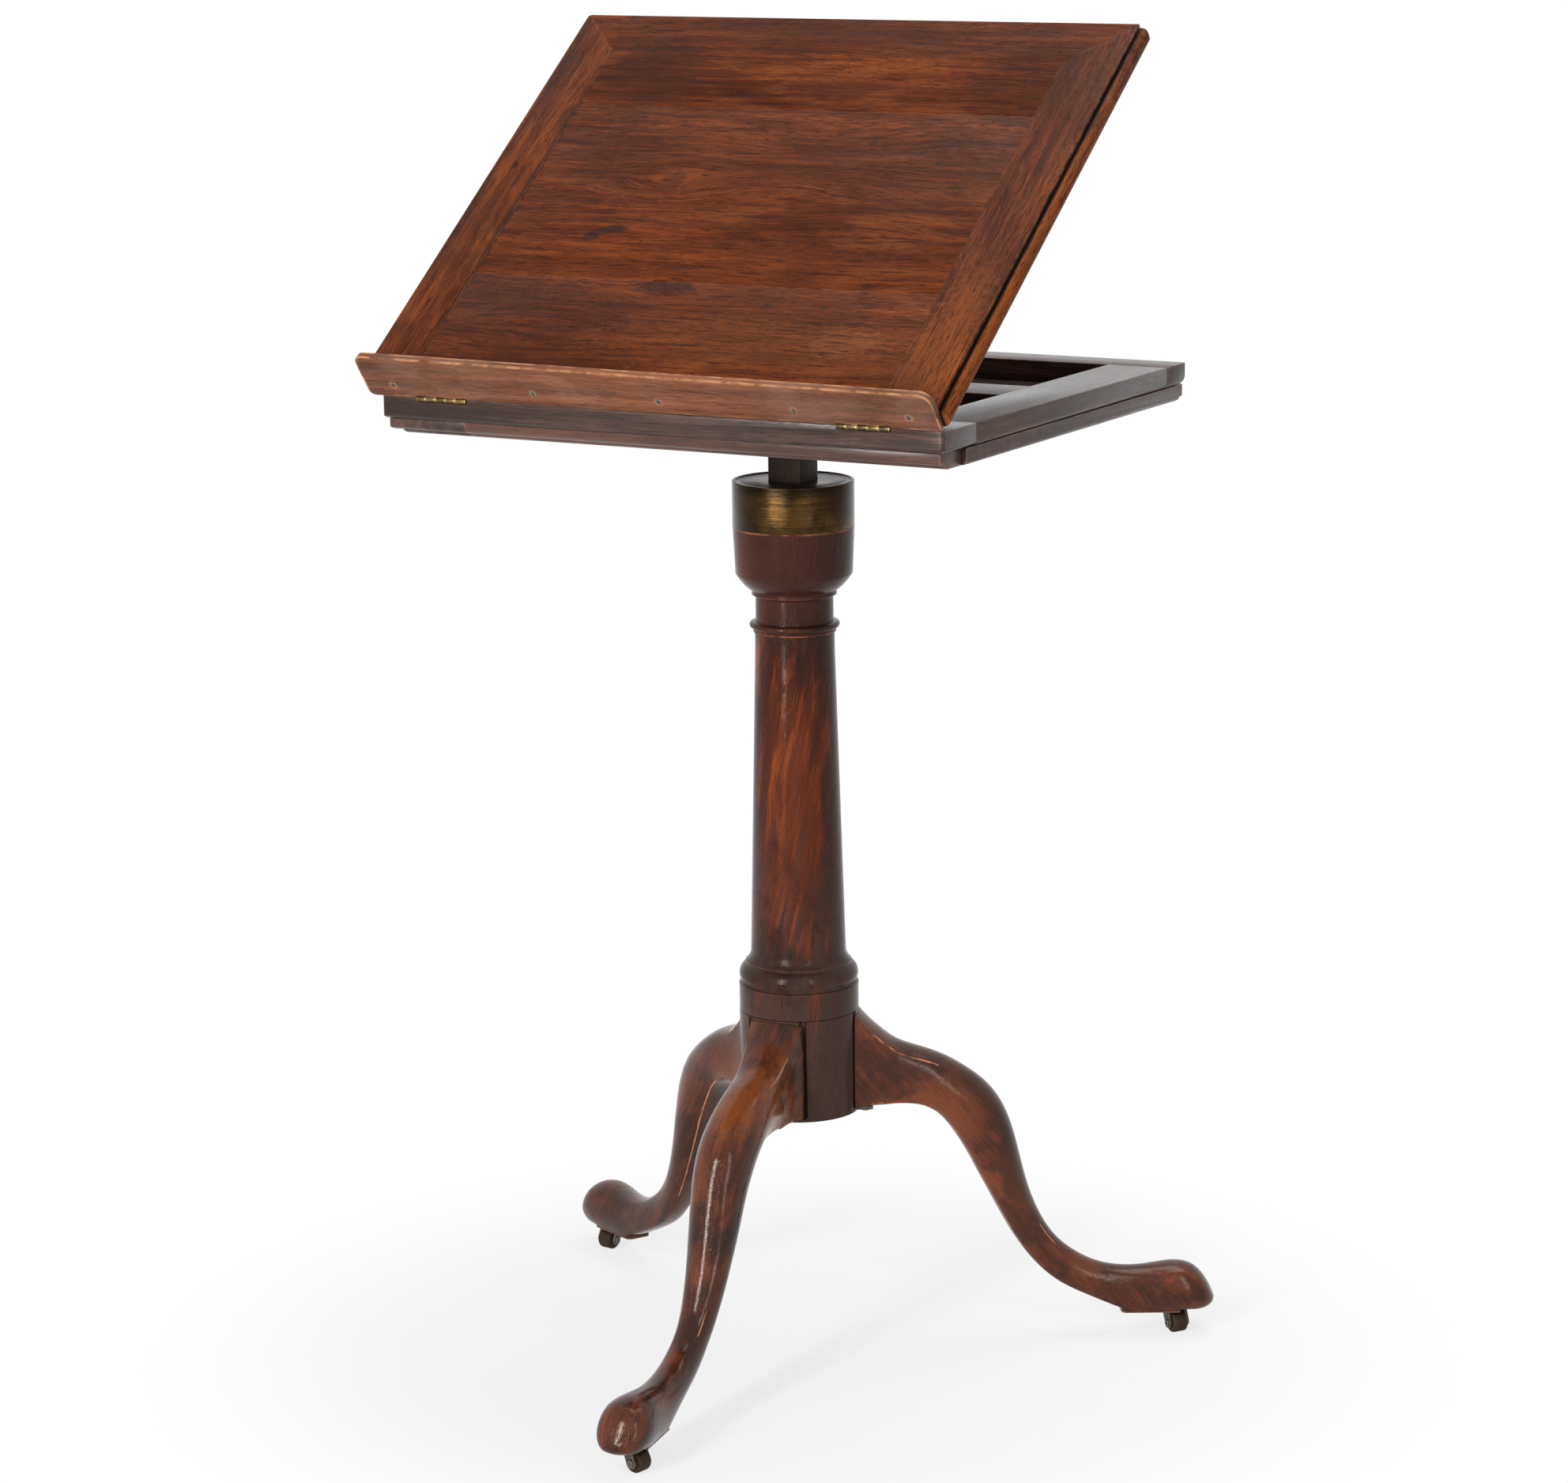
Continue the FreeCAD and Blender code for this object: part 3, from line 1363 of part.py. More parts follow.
def slope_blank():
    low = S.slope_underside
    top = low + S.slope_thick
    foot = S.ledge_thick
    back = S.slope_length
    sides = padded("slope_sides", "XZ_Plane", slope_side_profile(), foot, back)
    radius = S.slope_corner
    left, right = slope_outer_sides()
    plan_corners = [
        Corner(left, foot),
        Corner(right, foot),
        Corner(right, back - radius),
        Corner(right - radius, back, centre_u=right - radius),
        Corner(left + radius, back),
        Corner(left, back - radius, centre_u=left + radius),
    ]
    plan = padded("slope_plan", "XY_Plane", plan_corners, low, top)
    return common("slope_blank", [sides, plan])


def slope_pieces_plan():
    """The outline of each board of the slope, seen from above; the clamps are mitred at the back."""
    foot = S.ledge_thick
    back = S.slope_length
    left, right = slope_outer_sides()
    flat_left = S.slope_left
    flat_right = S.slope_right
    inner_left = flat_left + S.clamp_left_width
    inner_right = flat_right - S.clamp_right_width
    left_mitre = back - S.clamp_left_width
    right_mitre = back - S.clamp_right_width
    first = foot + LOWER_BOARD_SHARE * (back - foot)
    second = first + MIDDLE_BOARD_SHARE * (back - foot)
    return {
        "slope_clamp_left": [(left, foot), (inner_left, foot), (inner_left, left_mitre),
                             (flat_left, back), (left, back)],
        "slope_clamp_right": [(inner_right, foot), (right, foot), (right, back),
                              (flat_right, back), (inner_right, right_mitre)],
        "slope_board_lower": [(inner_left, foot), (inner_right, foot),
                              (inner_right, first), (inner_left, first)],
        "slope_board_middle": [(inner_left, first), (inner_right, first),
                               (inner_right, second), (inner_left, second)],
        "slope_board_upper": [(inner_left, second), (inner_right, second), (inner_right, right_mitre),
                              (flat_right, back), (flat_left, back), (inner_left, left_mitre)],
    }


def slope_rebates():
    """Room in the slope's and the ledge's underside for the hinges and the strut's brackets."""
    tools = []
    for side, centre in hinge_centres().items():
        half = S.hinge_length / 2 + S.knuckle_clearance
        reach = S.knuckle_radius + S.knuckle_clearance
        leaf_top = S.slope_underside + S.hinge_leaf_thick
        tools.append(rod(f"slope_knuckle_{side}", reach, (centre - half, ZERO, ZERO), 2 * half, "X"))
        x_range = (centre - half, centre + half)
        tools.append(block(f"slope_leaf_{side}", x_range, (ZERO, S.hinge_leaf_width), (ZERO, leaf_top)))
        for number, x in enumerate(hinge_screw_places(centre)):
            place = (x, S.hinge_screw_setback, leaf_top)
            length = S.hinge_screw_length - S.hinge_leaf_thick
            tools.append(rod(f"slope_hole_{side}_{number}", S.hinge_screw_radius, place, length))
    return tools


def bracket_rebates():
    tools = []
    for side, sign in (("left", -1), ("right", 1)):
        centre = sign * S.strut_arm_spread
        half = S.strut_arm_width / 2 + S.strut_side_gap + S.strut_lug_thick
        reach = S.bracket_plate_length / 2
        x_range = (centre - half, centre + half)
        y_range = (S.strut_reach - reach, S.strut_reach + reach)
        z_range = (S.slope_underside, S.slope_underside + S.bracket_plate_thick)
        tools.append(block(f"bracket_rebate_{side}", x_range, y_range, z_range))
        tools.extend(bracket_screw_holes(side, centre))
    return tools


def bracket_screw_holes(side, centre):
    holes = []
    top = S.slope_underside + S.bracket_plate_thick
    for hand, sign in (("low", -1), ("high", 1)):
        y = S.strut_reach + sign * S.bracket_screw_setback
        length = S.hinge_screw_length - S.bracket_plate_thick
        holes.append(rod(f"bracket_hole_{side}_{hand}", S.hinge_screw_radius, (centre, y, top), length))
    return holes


def ledge_screw_places():
    length = S.ledge_right_end - S.ledge_left_end
    return [S.ledge_left_end + length * share for share in LEDGE_SCREW_SHARES]


def ledge_screw_shapes(name):
    """The five ledge screws, heads forward, each with its slot."""
    screws = []
    for number, x in enumerate(ledge_screw_places()):
        z = S.slope_underside + S.ledge_screw_height
        length = S.ledge_screw_length
        shank = rod(f"{name}_{number}_shank", S.ledge_screw_radius, (x, ZERO, z), length, "Y")
        head = doc.addObject("Part::Cone", f"{name}_{number}_head")
        bind(head, "Radius1", S.ledge_screw_head)
        bind(head, "Radius2", S.ledge_screw_radius)
        bind(head, "Height", S.ledge_screw_head)
        head.Placement = Placement(Vector(), Rotation(Vector(1, 0, 0), -90))
        bind_base(head, (x, ZERO, z))
        screws.append(fused(f"{name}_{number}", [shank, head]))
    return screws


def make_ledge():
    low = S.slope_underside
    left = S.ledge_left_end
    right = S.ledge_right_end
    left_top = low + S.ledge_left_height
    right_top = low + S.ledge_right_height
    corners = [
        Corner(left + S.ledge_foot_round, low, centre_u=left + S.ledge_foot_round),
        Corner(right, low),
        Corner(right, right_top - S.ledge_right_round),
        Corner(right - S.ledge_right_round, right_top, centre_u=right - S.ledge_right_round),
        Corner(left + S.ledge_left_round, left_top),
        Corner(left, left_top - S.ledge_left_round, centre_u=left + S.ledge_left_round),
        Corner(left, low + S.ledge_foot_round),
    ]
    bar = padded("ledge_bar", "XZ_Plane", corners, ZERO, S.ledge_thick)
    return cut("ledge_solid", bar, ledge_screw_shapes("ledge_hole") + slope_rebates_again("ledge"))


def slope_rebates_again(name):
    again = doc.addObject("Part::Compound", f"{name}_rebates")
    again.Links = [doc.getObject("slope_rebate_set")]
    return [again]


def make_slope():
    blank = slope_blank()
    rebates = fused("slope_rebate_set", slope_rebates() + bracket_rebates())
    screw_tools = ledge_screw_shapes("slope_screw_hole")
    pierced = cut("slope_pierced", blank, [rebates] + screw_tools)
    low = S.slope_underside
    top = low + S.slope_thick
    for name, plan in slope_pieces_plan().items():
        prism = padded(f"{name}_prism", "XY_Plane", [Corner(u, v) for u, v in plan], low, top)
        solid = common(f"{name}_solid", [pierced, prism])
        solid.Placement = slope_place()
        keep(name, solid)
    ledge = make_ledge()
    ledge.Placement = slope_place()
    keep("ledge", ledge)
    slotted = []
    for number, screw in enumerate(ledge_screw_shapes("ledge_screw")):
        x = ledge_screw_places()[number]
        z = S.slope_underside + S.ledge_screw_height
        half = S.ledge_screw_slot / 2
        head = S.ledge_screw_head
        slot = block(f"ledge_slot_{number}", (x - half, x + half), (ZERO, S.ledge_screw_slot_depth),
                     (z - head, z + head))
        slotted.append(cut(f"ledge_screw_slotted_{number}", screw, [slot]))
    screws = group("ledge_screw_group", slotted)
    screws.Placement = slope_place()
    keep("ledge_screws", screws)


# Easel strut: two arms and a foot bar, with a bracket on the slope for each arm


def bracket_shape(centre):
    """A plate let into the slope with two lugs that hold one arm, drawn shut."""
    gap = S.strut_side_gap.value
    lug = S.strut_lug_thick.value
    half_arm = S.strut_arm_width.value / 2 + gap
    half = half_arm + lug
    length = S.bracket_plate_length.value
    plate_low = S.slope_underside.value
    reach = S.strut_reach.value
    thick = S.bracket_plate_thick.value
    shapes = [Part.makeBox(2 * half, length, thick, Vector(centre - half, reach - length / 2, plate_low))]
    radius = S.strut_lug_radius.value
    drop = S.strut_pivot_drop.value
    for start in (centre - half, centre + half_arm):
        axis_point = Vector(start, reach, -drop)
        shapes.append(Part.makeCylinder(radius, lug, axis_point, Vector(1, 0, 0)))
        shapes.append(Part.makeBox(lug, 2 * radius, plate_low + drop, Vector(start, reach - radius, -drop)))
    whole = shapes[0].fuse(shapes[1:]).removeSplitter()
    pin_hole = Part.makeCylinder(
        S.strut_pin_radius.value, 2 * half, Vector(centre - half, reach, -drop), Vector(1, 0, 0),
    )
    return whole.cut([pin_hole] + bracket_cones(centre))


def bracket_cones(centre):
    cones = []
    for sign in (-1, 1):
        y = S.strut_reach.value + sign * S.bracket_screw_setback.value
        place = Vector(centre, y, S.slope_underside.value)
        cones.append(Part.makeCone(
            S.hinge_screw_head.value, S.hinge_screw_radius.value, S.bracket_plate_thick.value, place,
        ))
    return cones


def bracket_screw_shapes(centre):
    screws = []
    top = S.slope_underside.value + S.bracket_plate_thick.value
    length = S.hinge_screw_length.value - S.bracket_plate_thick.value
    for cone, sign in zip(bracket_cones(centre), (-1, 1)):
        y = S.strut_reach.value + sign * S.bracket_screw_setback.value
        stem = Part.makeCylinder(S.hinge_screw_radius.value, length, Vector(centre, y, top))
        screws.append(cone.fuse(stem))
    return screws


def make_brackets():
    pins = []
    screws = []
    half = S.strut_arm_width.value / 2 + S.strut_side_gap.value + S.strut_lug_thick.value
    for side, sign in (("left", -1), ("right", 1)):
        centre = sign * S.strut_arm_spread.value
        keep(f"strut_bracket_{side}", shaped(f"bracket_{side}", bracket_shape(centre), slope_place()))
        start = Vector(centre - half, S.strut_reach.value, -S.strut_pivot_drop.value)
        pins.append(Part.makeCylinder(S.strut_pin_radius.value, 2 * half, start, Vector(1, 0, 0)))
        screws += bracket_screw_shapes(centre)
    keep("strut_pivot_pins", shaped("pivot_pin_set", Part.Compound(pins), slope_place()))
    keep("bracket_screws", shaped("bracket_screw_set", Part.Compound(screws), slope_place()))


def strut_place():
    """The strut stands on its foot line: it turns twice as far as the slope, the other way."""
    pivot = slope_place().multVec(Vector(0, S.strut_reach.value, -S.strut_pivot_drop.value))
    length = math.hypot(S.strut_reach.value, S.strut_pivot_drop.value)
    shut_angle = math.degrees(math.asin((S.strut_pivot_drop.value - S.strut_foot_drop.value) / length))
    return Placement(pivot, Rotation(Vector(1, 0, 0), shut_angle - S.slope_angle.value))


def strut_length():
    return math.hypot(S.strut_reach.value, S.strut_pivot_drop.value)


def arm_shape(centre):
    """One arm along +Y from its pivot, with rounded ends."""
    width = S.strut_arm_width.value
    radius = S.strut_arm_thick.value / 2
    length = strut_length()
    x = centre - width / 2
    across = Vector(1, 0, 0)
    bar = Part.makeBox(width, length, 2 * radius, Vector(x, 0, -radius))
    ends = [Part.makeCylinder(radius, width, Vector(x, y, 0), across) for y in (0, length)]
    bore = Part.makeCylinder(S.strut_pin_radius.value + S.running_gap.value, width, Vector(x, 0, 0), across)
    socket = Part.makeCylinder(S.strut_foot_radius.value, width, Vector(x, length, 0), across)
    return bar.fuse(ends).removeSplitter().cut([bore, socket])


def make_strut():
    place = strut_place()
    spread = S.strut_arm_spread.value
    for side, sign in (("left", -1), ("right", 1)):
        keep(f"strut_arm_{side}", shaped(f"arm_{side}", arm_shape(sign * spread), place))
    end = spread + S.strut_arm_width.value / 2
    start = Vector(-end, strut_length(), 0)
    bar = Part.makeCylinder(S.strut_foot_radius.value, 2 * end, start, Vector(1, 0, 0))
    keep("strut_foot_bar", shaped("foot_bar", bar, place))


# Checks and files


def check_document():
    for thing in doc.Objects:
        if "Invalid" in thing.State or "Error" in thing.State:
            raise RuntimeError(f"{thing.Label} did not build: {thing.State}")
    for piece in pieces:
        if piece.Shape.isNull() or not piece.Shape.isValid():
            raise RuntimeError(f"{piece.Label} has no valid shape")
        if not piece.Shape.Solids:
            raise RuntimeError(f"{piece.Label} has no solid")


def write_files():
    os.makedirs("parts", exist_ok=True)
    for piece in pieces:
        piece.Shape.exportStep(os.path.join("parts", f"{piece.Label}.step"))
        print(f"{piece.Label}: {len(piece.Shape.Solids)} solids, {piece.Shape.Volume:.0f} cubic mm")


def build():
    fill_sheet()
    make_column()
    make_head()
    make_legs()
    make_strap()
    make_castors()
    make_post()
    make_springs()
    make_lower_board()
    make_frame([doc.getObject(f"frame_screw_hole_{n}") for n in range(len(frame_screw_places()))])
    make_ratchets()
    make_hinges()
    make_slope()
    make_brackets()
    make_strut()
    doc.recompute()
    check_document()
    write_files()


build()
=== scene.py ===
import json
import math

import bmesh
import bpy
from mathutils import Matrix, Vector


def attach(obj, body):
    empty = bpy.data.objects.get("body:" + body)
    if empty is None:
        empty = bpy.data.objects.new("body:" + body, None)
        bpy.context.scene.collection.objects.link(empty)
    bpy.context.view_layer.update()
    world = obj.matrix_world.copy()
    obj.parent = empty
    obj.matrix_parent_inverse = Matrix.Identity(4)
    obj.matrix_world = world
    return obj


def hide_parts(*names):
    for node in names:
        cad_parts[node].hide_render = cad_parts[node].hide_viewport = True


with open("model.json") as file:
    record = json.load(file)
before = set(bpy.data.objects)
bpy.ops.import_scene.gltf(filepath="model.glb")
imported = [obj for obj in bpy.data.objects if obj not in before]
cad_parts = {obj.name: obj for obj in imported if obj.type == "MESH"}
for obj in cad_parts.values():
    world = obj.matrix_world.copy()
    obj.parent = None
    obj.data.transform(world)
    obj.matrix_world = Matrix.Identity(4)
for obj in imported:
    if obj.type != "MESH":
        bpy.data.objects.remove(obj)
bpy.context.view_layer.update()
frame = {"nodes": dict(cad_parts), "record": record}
mm = 0.001
scene = bpy.context.scene
bodies = frame["record"]["behaviour"]["bodies"]
bodyOf = {node: body for body, nodes in bodies.items() for node in nodes}
slotOf = {part["node"]: part["material_slot"] for part in frame["record"]["subparts"]}
print("frame loaded,", len(frame["nodes"]), "nodes")

# directions of the room, and of the slope: across, up the slope, off the board
centre = Vector((0, 0, 0))
across, back, up = Vector((1, 0, 0)), Vector((0, 1, 0)), Vector((0, 0, 1))
roomAxes = (across, back, up)
slopeTilt = math.radians(36.4)
hingeLine = Vector((0, -201.3, 749.6)) * mm
upSlope = Vector((0, math.cos(slopeTilt), math.sin(slopeTilt)))
offSlope = Vector((0, -math.sin(slopeTilt), math.cos(slopeTilt)))
slopeAxes = (across, upSlope, offSlope)


# node building

class Nodes:
    cornerSamples = 6
    roundingSamples = 4

    def __init__(self, owner):     # a material or the world
        owner.use_nodes = True
        self.owner = owner
        self.tree = owner.node_tree
        self.tree.nodes.clear()

    def add(self, kind, inputs=None, **settings):
        node = self.tree.nodes.new("ShaderNode" + kind)
        for key, value in settings.items():
            setattr(node, key, value)
        for key, value in (inputs or {}).items():
            self.put(node.inputs[key], value)
        return node

    def put(self, socket, value):
        if isinstance(value, bpy.types.NodeSocket):
            self.tree.links.new(value, socket)
        else:
            socket.default_value = value

    def attribute(self, name, output="Vector"):
        return self.add("Attribute", attribute_name=name).outputs[output]

    def calc(self, operation, *values):
        return self.add("Math", dict(enumerate(values)), operation=operation).outputs[0]

    def gather(self, parts):     # values added up, each times its share
        total = None
        for value, share in parts:
            part = self.calc("MULTIPLY", value, share)
            total = part if total is None else self.calc("ADD", total, part)
        return total

    def vector(self, operation, *values):
        return self.add("VectorMath", dict(enumerate(values)), operation=operation).outputs[0]

    def length(self, vector):
        return self.add("VectorMath", {0: vector}, operation="LENGTH").outputs["Value"]

    def away(self, place, middle):     # from a middle given in mm
        return self.vector("ADD", place, tuple(-value * mm for value in middle))

    def reach(self, away, reaches):     # 1 at the reaches in mm; a reach of 0 doesn't count
        sizes = tuple(1 / (value * mm) if value else 0 for value in reaches)
        return self.length(self.vector("MULTIPLY", away, sizes))

    def noise(self, vector, scale, detail, roughness=0.5, distortion=0.0, output=0):
        values = {"Vector": self.vector("MULTIPLY", vector, scale), "Scale": 1.0,
                  "Detail": detail, "Roughness": roughness, "Distortion": distortion}
        return self.add("TexNoise", values).outputs[output]

    def fade(self, value, low, high, toLow=0.0, toHigh=1.0):
        values = {"Value": value, "From Min": low, "From Max": high,
                  "To Min": toLow, "To Max": toHigh}
        return self.add("MapRange", values, interpolation_type="SMOOTHSTEP").outputs[0]

    def blend(self, factor, first, second):
        node = self.add("Mix", {0: factor}, data_type="RGBA")
        for place, colour in ((6, first), (7, second)):
            self.put(node.inputs[place], (*colour, 1) if isinstance(colour, tuple) else colour)
        return node.outputs[2]

    def cover(self, colour, mask, share, over):     # another colour over it where the mask is 1
        return self.blend(self.calc("MULTIPLY", mask, share), colour, over)

    def ramp(self, value, stops):
        node = self.add("ValToRGB", {0: value})
        ramp = node.color_ramp
        while len(ramp.elements) < len(stops):
            ramp.elements.new(0.5)
        for element, (place, colour) in zip(ramp.elements, stops):
            element.position = place
            element.color = (*colour, 1)
        return node.outputs[0]

    def corners(self, distance, inside):
        node = self.add("AmbientOcclusion", {"Distance": distance}, samples=self.cornerSamples,
                        inside=inside, only_local=inside)
        return self.calc("SUBTRACT", 1.0, node.outputs["AO"])

    def hollows(self, distance):     # 0 in open places, 1 deep in corners
        return self.corners(distance, False)

    def arrises(self, distance):     # 0 on flats, up to 0.5 at an outer edge
        return self.corners(distance, True)

    # spots of colour at given places: real stains, and painted light and painted shade
    def stainsAndShade(self, colour, place, wobble, stainAndShadeSpots, ragged=2.0, gone=1.35, whole=0.55):
        for middle, reaches, depth, spotColour in stainAndShadeSpots:     # middle and reaches in mm
            reach = self.reach(self.away(place, middle), reaches)
            stir = self.calc("MULTIPLY", self.calc("SUBTRACT", wobble, 0.5), ragged)
            reach = self.calc("ADD", reach, stir)
            colour = self.blend(self.fade(reach, gone, whole, 0.0, depth), colour, spotColour)
        return colour

    def seenRays(self):     # 1 for camera, mirror and glass rays
        path = self.add("LightPath").outputs
        seen = self.calc("MAXIMUM", path["Is Camera Ray"], path["Is Glossy Ray"])
        return self.calc("MAXIMUM", seen, path["Is Transmission Ray"])

    def bumped(self, height, strength, depth, rounding):
        rounded = self.add("Bevel", {"Radius": rounding}, samples=self.roundingSamples).outputs[0]
        values = {"Strength": strength, "Distance": depth, "Height": height, "Normal": rounded}
        return self.add("Bump", values).outputs[0]

    def finish(self, colour, roughness, normal, settings):
        values = {"Base Color": colour, "Roughness": roughness, "Normal": normal}
        node = self.add("BsdfPrincipled", values)
        for key, value in settings.items():
            node.inputs[key].default_value = value
        self.add("OutputMaterial", {0: node.outputs[0]})
        return self.owner


# what a wood has when its own look doesn't say; reaches in metres
woodDefaults = {
    # grime is the colour of dirt, old polish and joint lines, and also of the painted shade in
    # hollows
    "dark": (0.040, 0.014, 0.007), "mid": (0.130, 0.038, 0.014), "light": (0.230, 0.072, 0.024),
    "worn": (0.330, 0.120, 0.045), "grimeAndShade": (0.020, 0.010, 0.007),
    "spread": (0.32, 0.50, 0.70),     # where dark, mid and light lie
    "bands": 70.0, "bandShare": 0.42, "broadShare": 0.36, "fibreShare": 0.22, "run": 1.0,
    "rings": 130.0, "figureShare": 0.0, "sway": 0.010,
    "poreScale": (100, 1700, 1700), "pores": 0.45,
    "streaks": 0.45, "streakFrom": 0.60, "streakTo": 0.74, "patches": (5, 14), "patchShare": 0.0,
    "cloud": 9.0, "cloudFrom": 0.52, "cloudTo": 0.80, "cloudShare": 0.55,
    "haze": (0.30, 0.24, 0.20), "hazeShare": 0.0, "specks": 0.0,
    # the hollow share is how much painted shade darkens the hollows
    "hollowReach": 0.012, "hollowShadeShare": 0.85,
    "seamReach": 0.0012, "seamFrom": 0.12, "seamTo": 0.45, "seamShare": 0.9,
    "arrisReach": 0.0022, "arrisFrom": 0.14, "arrisTo": 0.42, "arrisShare": 0.75,
    "lineFrom": 0.80, "lineShare": 0.0,
    "knots": (), "marks": (), "stainAndShadeSpots": (), "unworn": (),
    "roughness": 0.36, "roughVary": 0.16, "ripple": 0.5, "bump": 0.35, "bumpDepth": 0.0006,
    "rounding": 0.0006, "coat": 0.0, "coatRoughness": 0.22, "specular": 0.2,
    "sheen": (1.0, 0.66, 0.48),
}

# scale along, over and through the grain, in waves a metre, then detail, roughness, distortion
woodLayers = {
    "sway": ((5, 26, 26), 2.0), "bands": ((3.0, 1, 1), 4.0, 0.62),
    "broad": ((1.8, 15, 15), 3.0, 0.55), "fibre": ((48, 1500, 1500), 2.0, 0.6),
    "ringWobble": ((7, 40, 40), 3.0), "pores": ((1, 1, 1), 1.0),
    "patches": ((1, 1, 1), 4.0, 0.6, 0.6), "ragged": ((160, 260, 200), 3.0, 0.6),
    "streaks": ((9, 420, 420), 3.0, 0.6), "clouds": ((1, 1, 1), 5.0, 0.62),
    "haze": ((14, 14, 14), 4.0, 0.6, 0.8), "specks": ((210, 260, 210), 2.0, 0.6),
    "rubbed": ((55, 55, 55), 4.0, 0.65), "rubbedLine": ((24, 24, 24), 3.0, 0.6),
    "ripple": ((38, 38, 38), 2.0),
}

# where each mask is nothing and where it is whole
woodMasks = {
    "knots": (1.0, 0.0), "pores": (0.58, 0.70), "patches": (0.50, 0.72), "marks": (1.15, 0.55),
    "haze": (0.42, 0.75), "specks": (0.70, 0.78), "hollows": (0.25, 0.75), "open": (0.16, 0.04),
    "unworn": (0.9, 1.1), "rubbed": (0.36, 0.62), "rubbedLine": (0.41, 0.58), "broad": (0.3, 0.7),
}

woodRings = {"centre": (0.0, 0.0, 0.08), "stretch": (0.11, 1.0, 1.0), "wobble": 0.012}
woodRelief = {"ripple": 3, "bands": 0.35, "fibre": 0.30, "pores": -0.45}
woodDullness = {"broad": 0.5, "pores": 0.5, "hollows": 1.2}
markRagged = 1.5
openReach = 2 * mm
lineWhole = 0.97


def woodFinish(name, look):
    look = {**woodDefaults, **look}
    run = look["run"]
    wood = Nodes(bpy.data.materials.new(name))
    grain, place = wood.attribute("grain"), wood.attribute("place")

    def layer(kind, vector, factors=(1, 1, 1), output=0):
        scale, *rest = woodLayers[kind]
        scale = tuple(value * factor for value, factor in zip(scale, factors))
        return wood.noise(vector, scale, *rest, output=output)

    for x, y, halfLong, halfWide, pull in look["knots"]:     # grain lines part round a knot
        away = wood.away(place, (x, y, 0))
        reach = wood.reach(away, (halfLong, halfWide, 0))
        near = wood.fade(reach, *woodMasks["knots"], 0.0, -pull)
        beside = wood.add("SeparateXYZ", {0: away}).outputs[1]
        push = wood.add("CombineXYZ", {1: wood.calc("MULTIPLY", beside, near)}).outputs[0]
        grain = wood.vector("ADD", grain, push)
    sway = wood.vector("ADD", layer("sway", grain, output=1), (-0.5, -0.5, -0.5))
    sway = wood.vector("MULTIPLY", sway, (0.0, look["sway"], look["sway"]))
    bent = wood.vector("ADD", grain, sway)

    # figure, pores and patches
    bands = layer("bands", bent, (run, look["bands"], look["bands"]))
    broad = layer("broad", bent, (run, 1, 1))
    fibre = layer("fibre", bent)
    tones = [(bands, look["bandShare"]), (broad, look["broadShare"]), (fibre, look["fibreShare"])]
    if look["figureShare"]:
        shifted = wood.vector("ADD", bent, woodRings["centre"])
        radius = wood.length(wood.vector("MULTIPLY", shifted, woodRings["stretch"]))
        wobble = wood.calc("MULTIPLY", layer("ringWobble", grain), woodRings["wobble"])
        waves = wood.calc("MULTIPLY", wood.calc("ADD", radius, wobble), look["rings"] * 2 * math.pi)
        rings = wood.calc("MULTIPLY_ADD", wood.calc("SINE", waves), 0.5, 0.5)
        tones.append((rings, look["figureShare"]))
    tone = wood.calc("DIVIDE", wood.gather(tones), sum(share for value, share in tones))
    shades = (look["dark"], look["mid"], look["light"])
    colour = wood.ramp(tone, tuple(zip(look["spread"], shades)))
    pores = wood.fade(layer("pores", bent, look["poreScale"]), *woodMasks["pores"])
    if look["patchShare"]:
        long, wide = look["patches"]
        patches = wood.fade(layer("patches", bent, (long, wide, wide)), *woodMasks["patches"])
        colour = wood.cover(colour, patches, look["patchShare"], look["glow"])

    # stains and marks at places of their own, some of them painted light and painted shade
    colour = wood.stainsAndShade(colour, place, bands, look["stainAndShadeSpots"])
    if look["marks"]:
        ragged = wood.calc("SUBTRACT", layer("ragged", place), 0.5)
        ragged = wood.calc("MULTIPLY", ragged, markRagged)
    for x, y, halfLong, halfWide, turn, depth, spotColour in look["marks"]:
        values = {"Vector": wood.away(place, (x, y, 0)), "Angle": -math.radians(turn)}
        turned = wood.add("VectorRotate", values, rotation_type="Z_AXIS").outputs[0]
        reach = wood.calc("ADD", wood.reach(turned, (halfLong, halfWide, 0)), ragged)
        near = wood.fade(reach, *woodMasks["marks"], 0.0, depth)
        colour = wood.blend(near, colour, spotColour)

    # pores, dark streaks, clouds of old polish, haze and specks
    colour = wood.cover(colour, pores, look["pores"], look["dark"])
    streaks = layer("streaks", bent, (run, 1, 1))
    streaks = wood.fade(streaks, look["streakFrom"], look["streakTo"])
    colour = wood.cover(colour, streaks, look["streaks"], look["dark"])
    clouds = layer("clouds", place, (look["cloud"],) * 3)
    clouds = wood.fade(clouds, look["cloudFrom"], look["cloudTo"])
    colour = wood.cover(colour, clouds, look["cloudShare"], look["grimeAndShade"])
    if look["hazeShare"]:
        haze = wood.fade(layer("haze", place), *woodMasks["haze"])
        colour = wood.cover(colour, haze, look["hazeShare"], look["haze"])
    if look["specks"]:
        specks = wood.fade(layer("specks", place), *woodMasks["specks"])
        colour = wood.cover(colour, specks, look["specks"], look["grimeAndShade"])

    # painted shade darkens hollows and corners, from ambient occlusion; dirt darkens the joint
    # lines in the seams
    hollowShade = wood.fade(wood.hollows(look["hollowReach"]), *woodMasks["hollows"])
    colour = wood.cover(colour, hollowShade, look["hollowShadeShare"], look["grimeAndShade"])
    seam = wood.fade(wood.hollows(look["seamReach"]), look["seamFrom"], look["seamTo"])
    colour = wood.cover(colour, seam, look["seamShare"], look["grimeAndShade"])

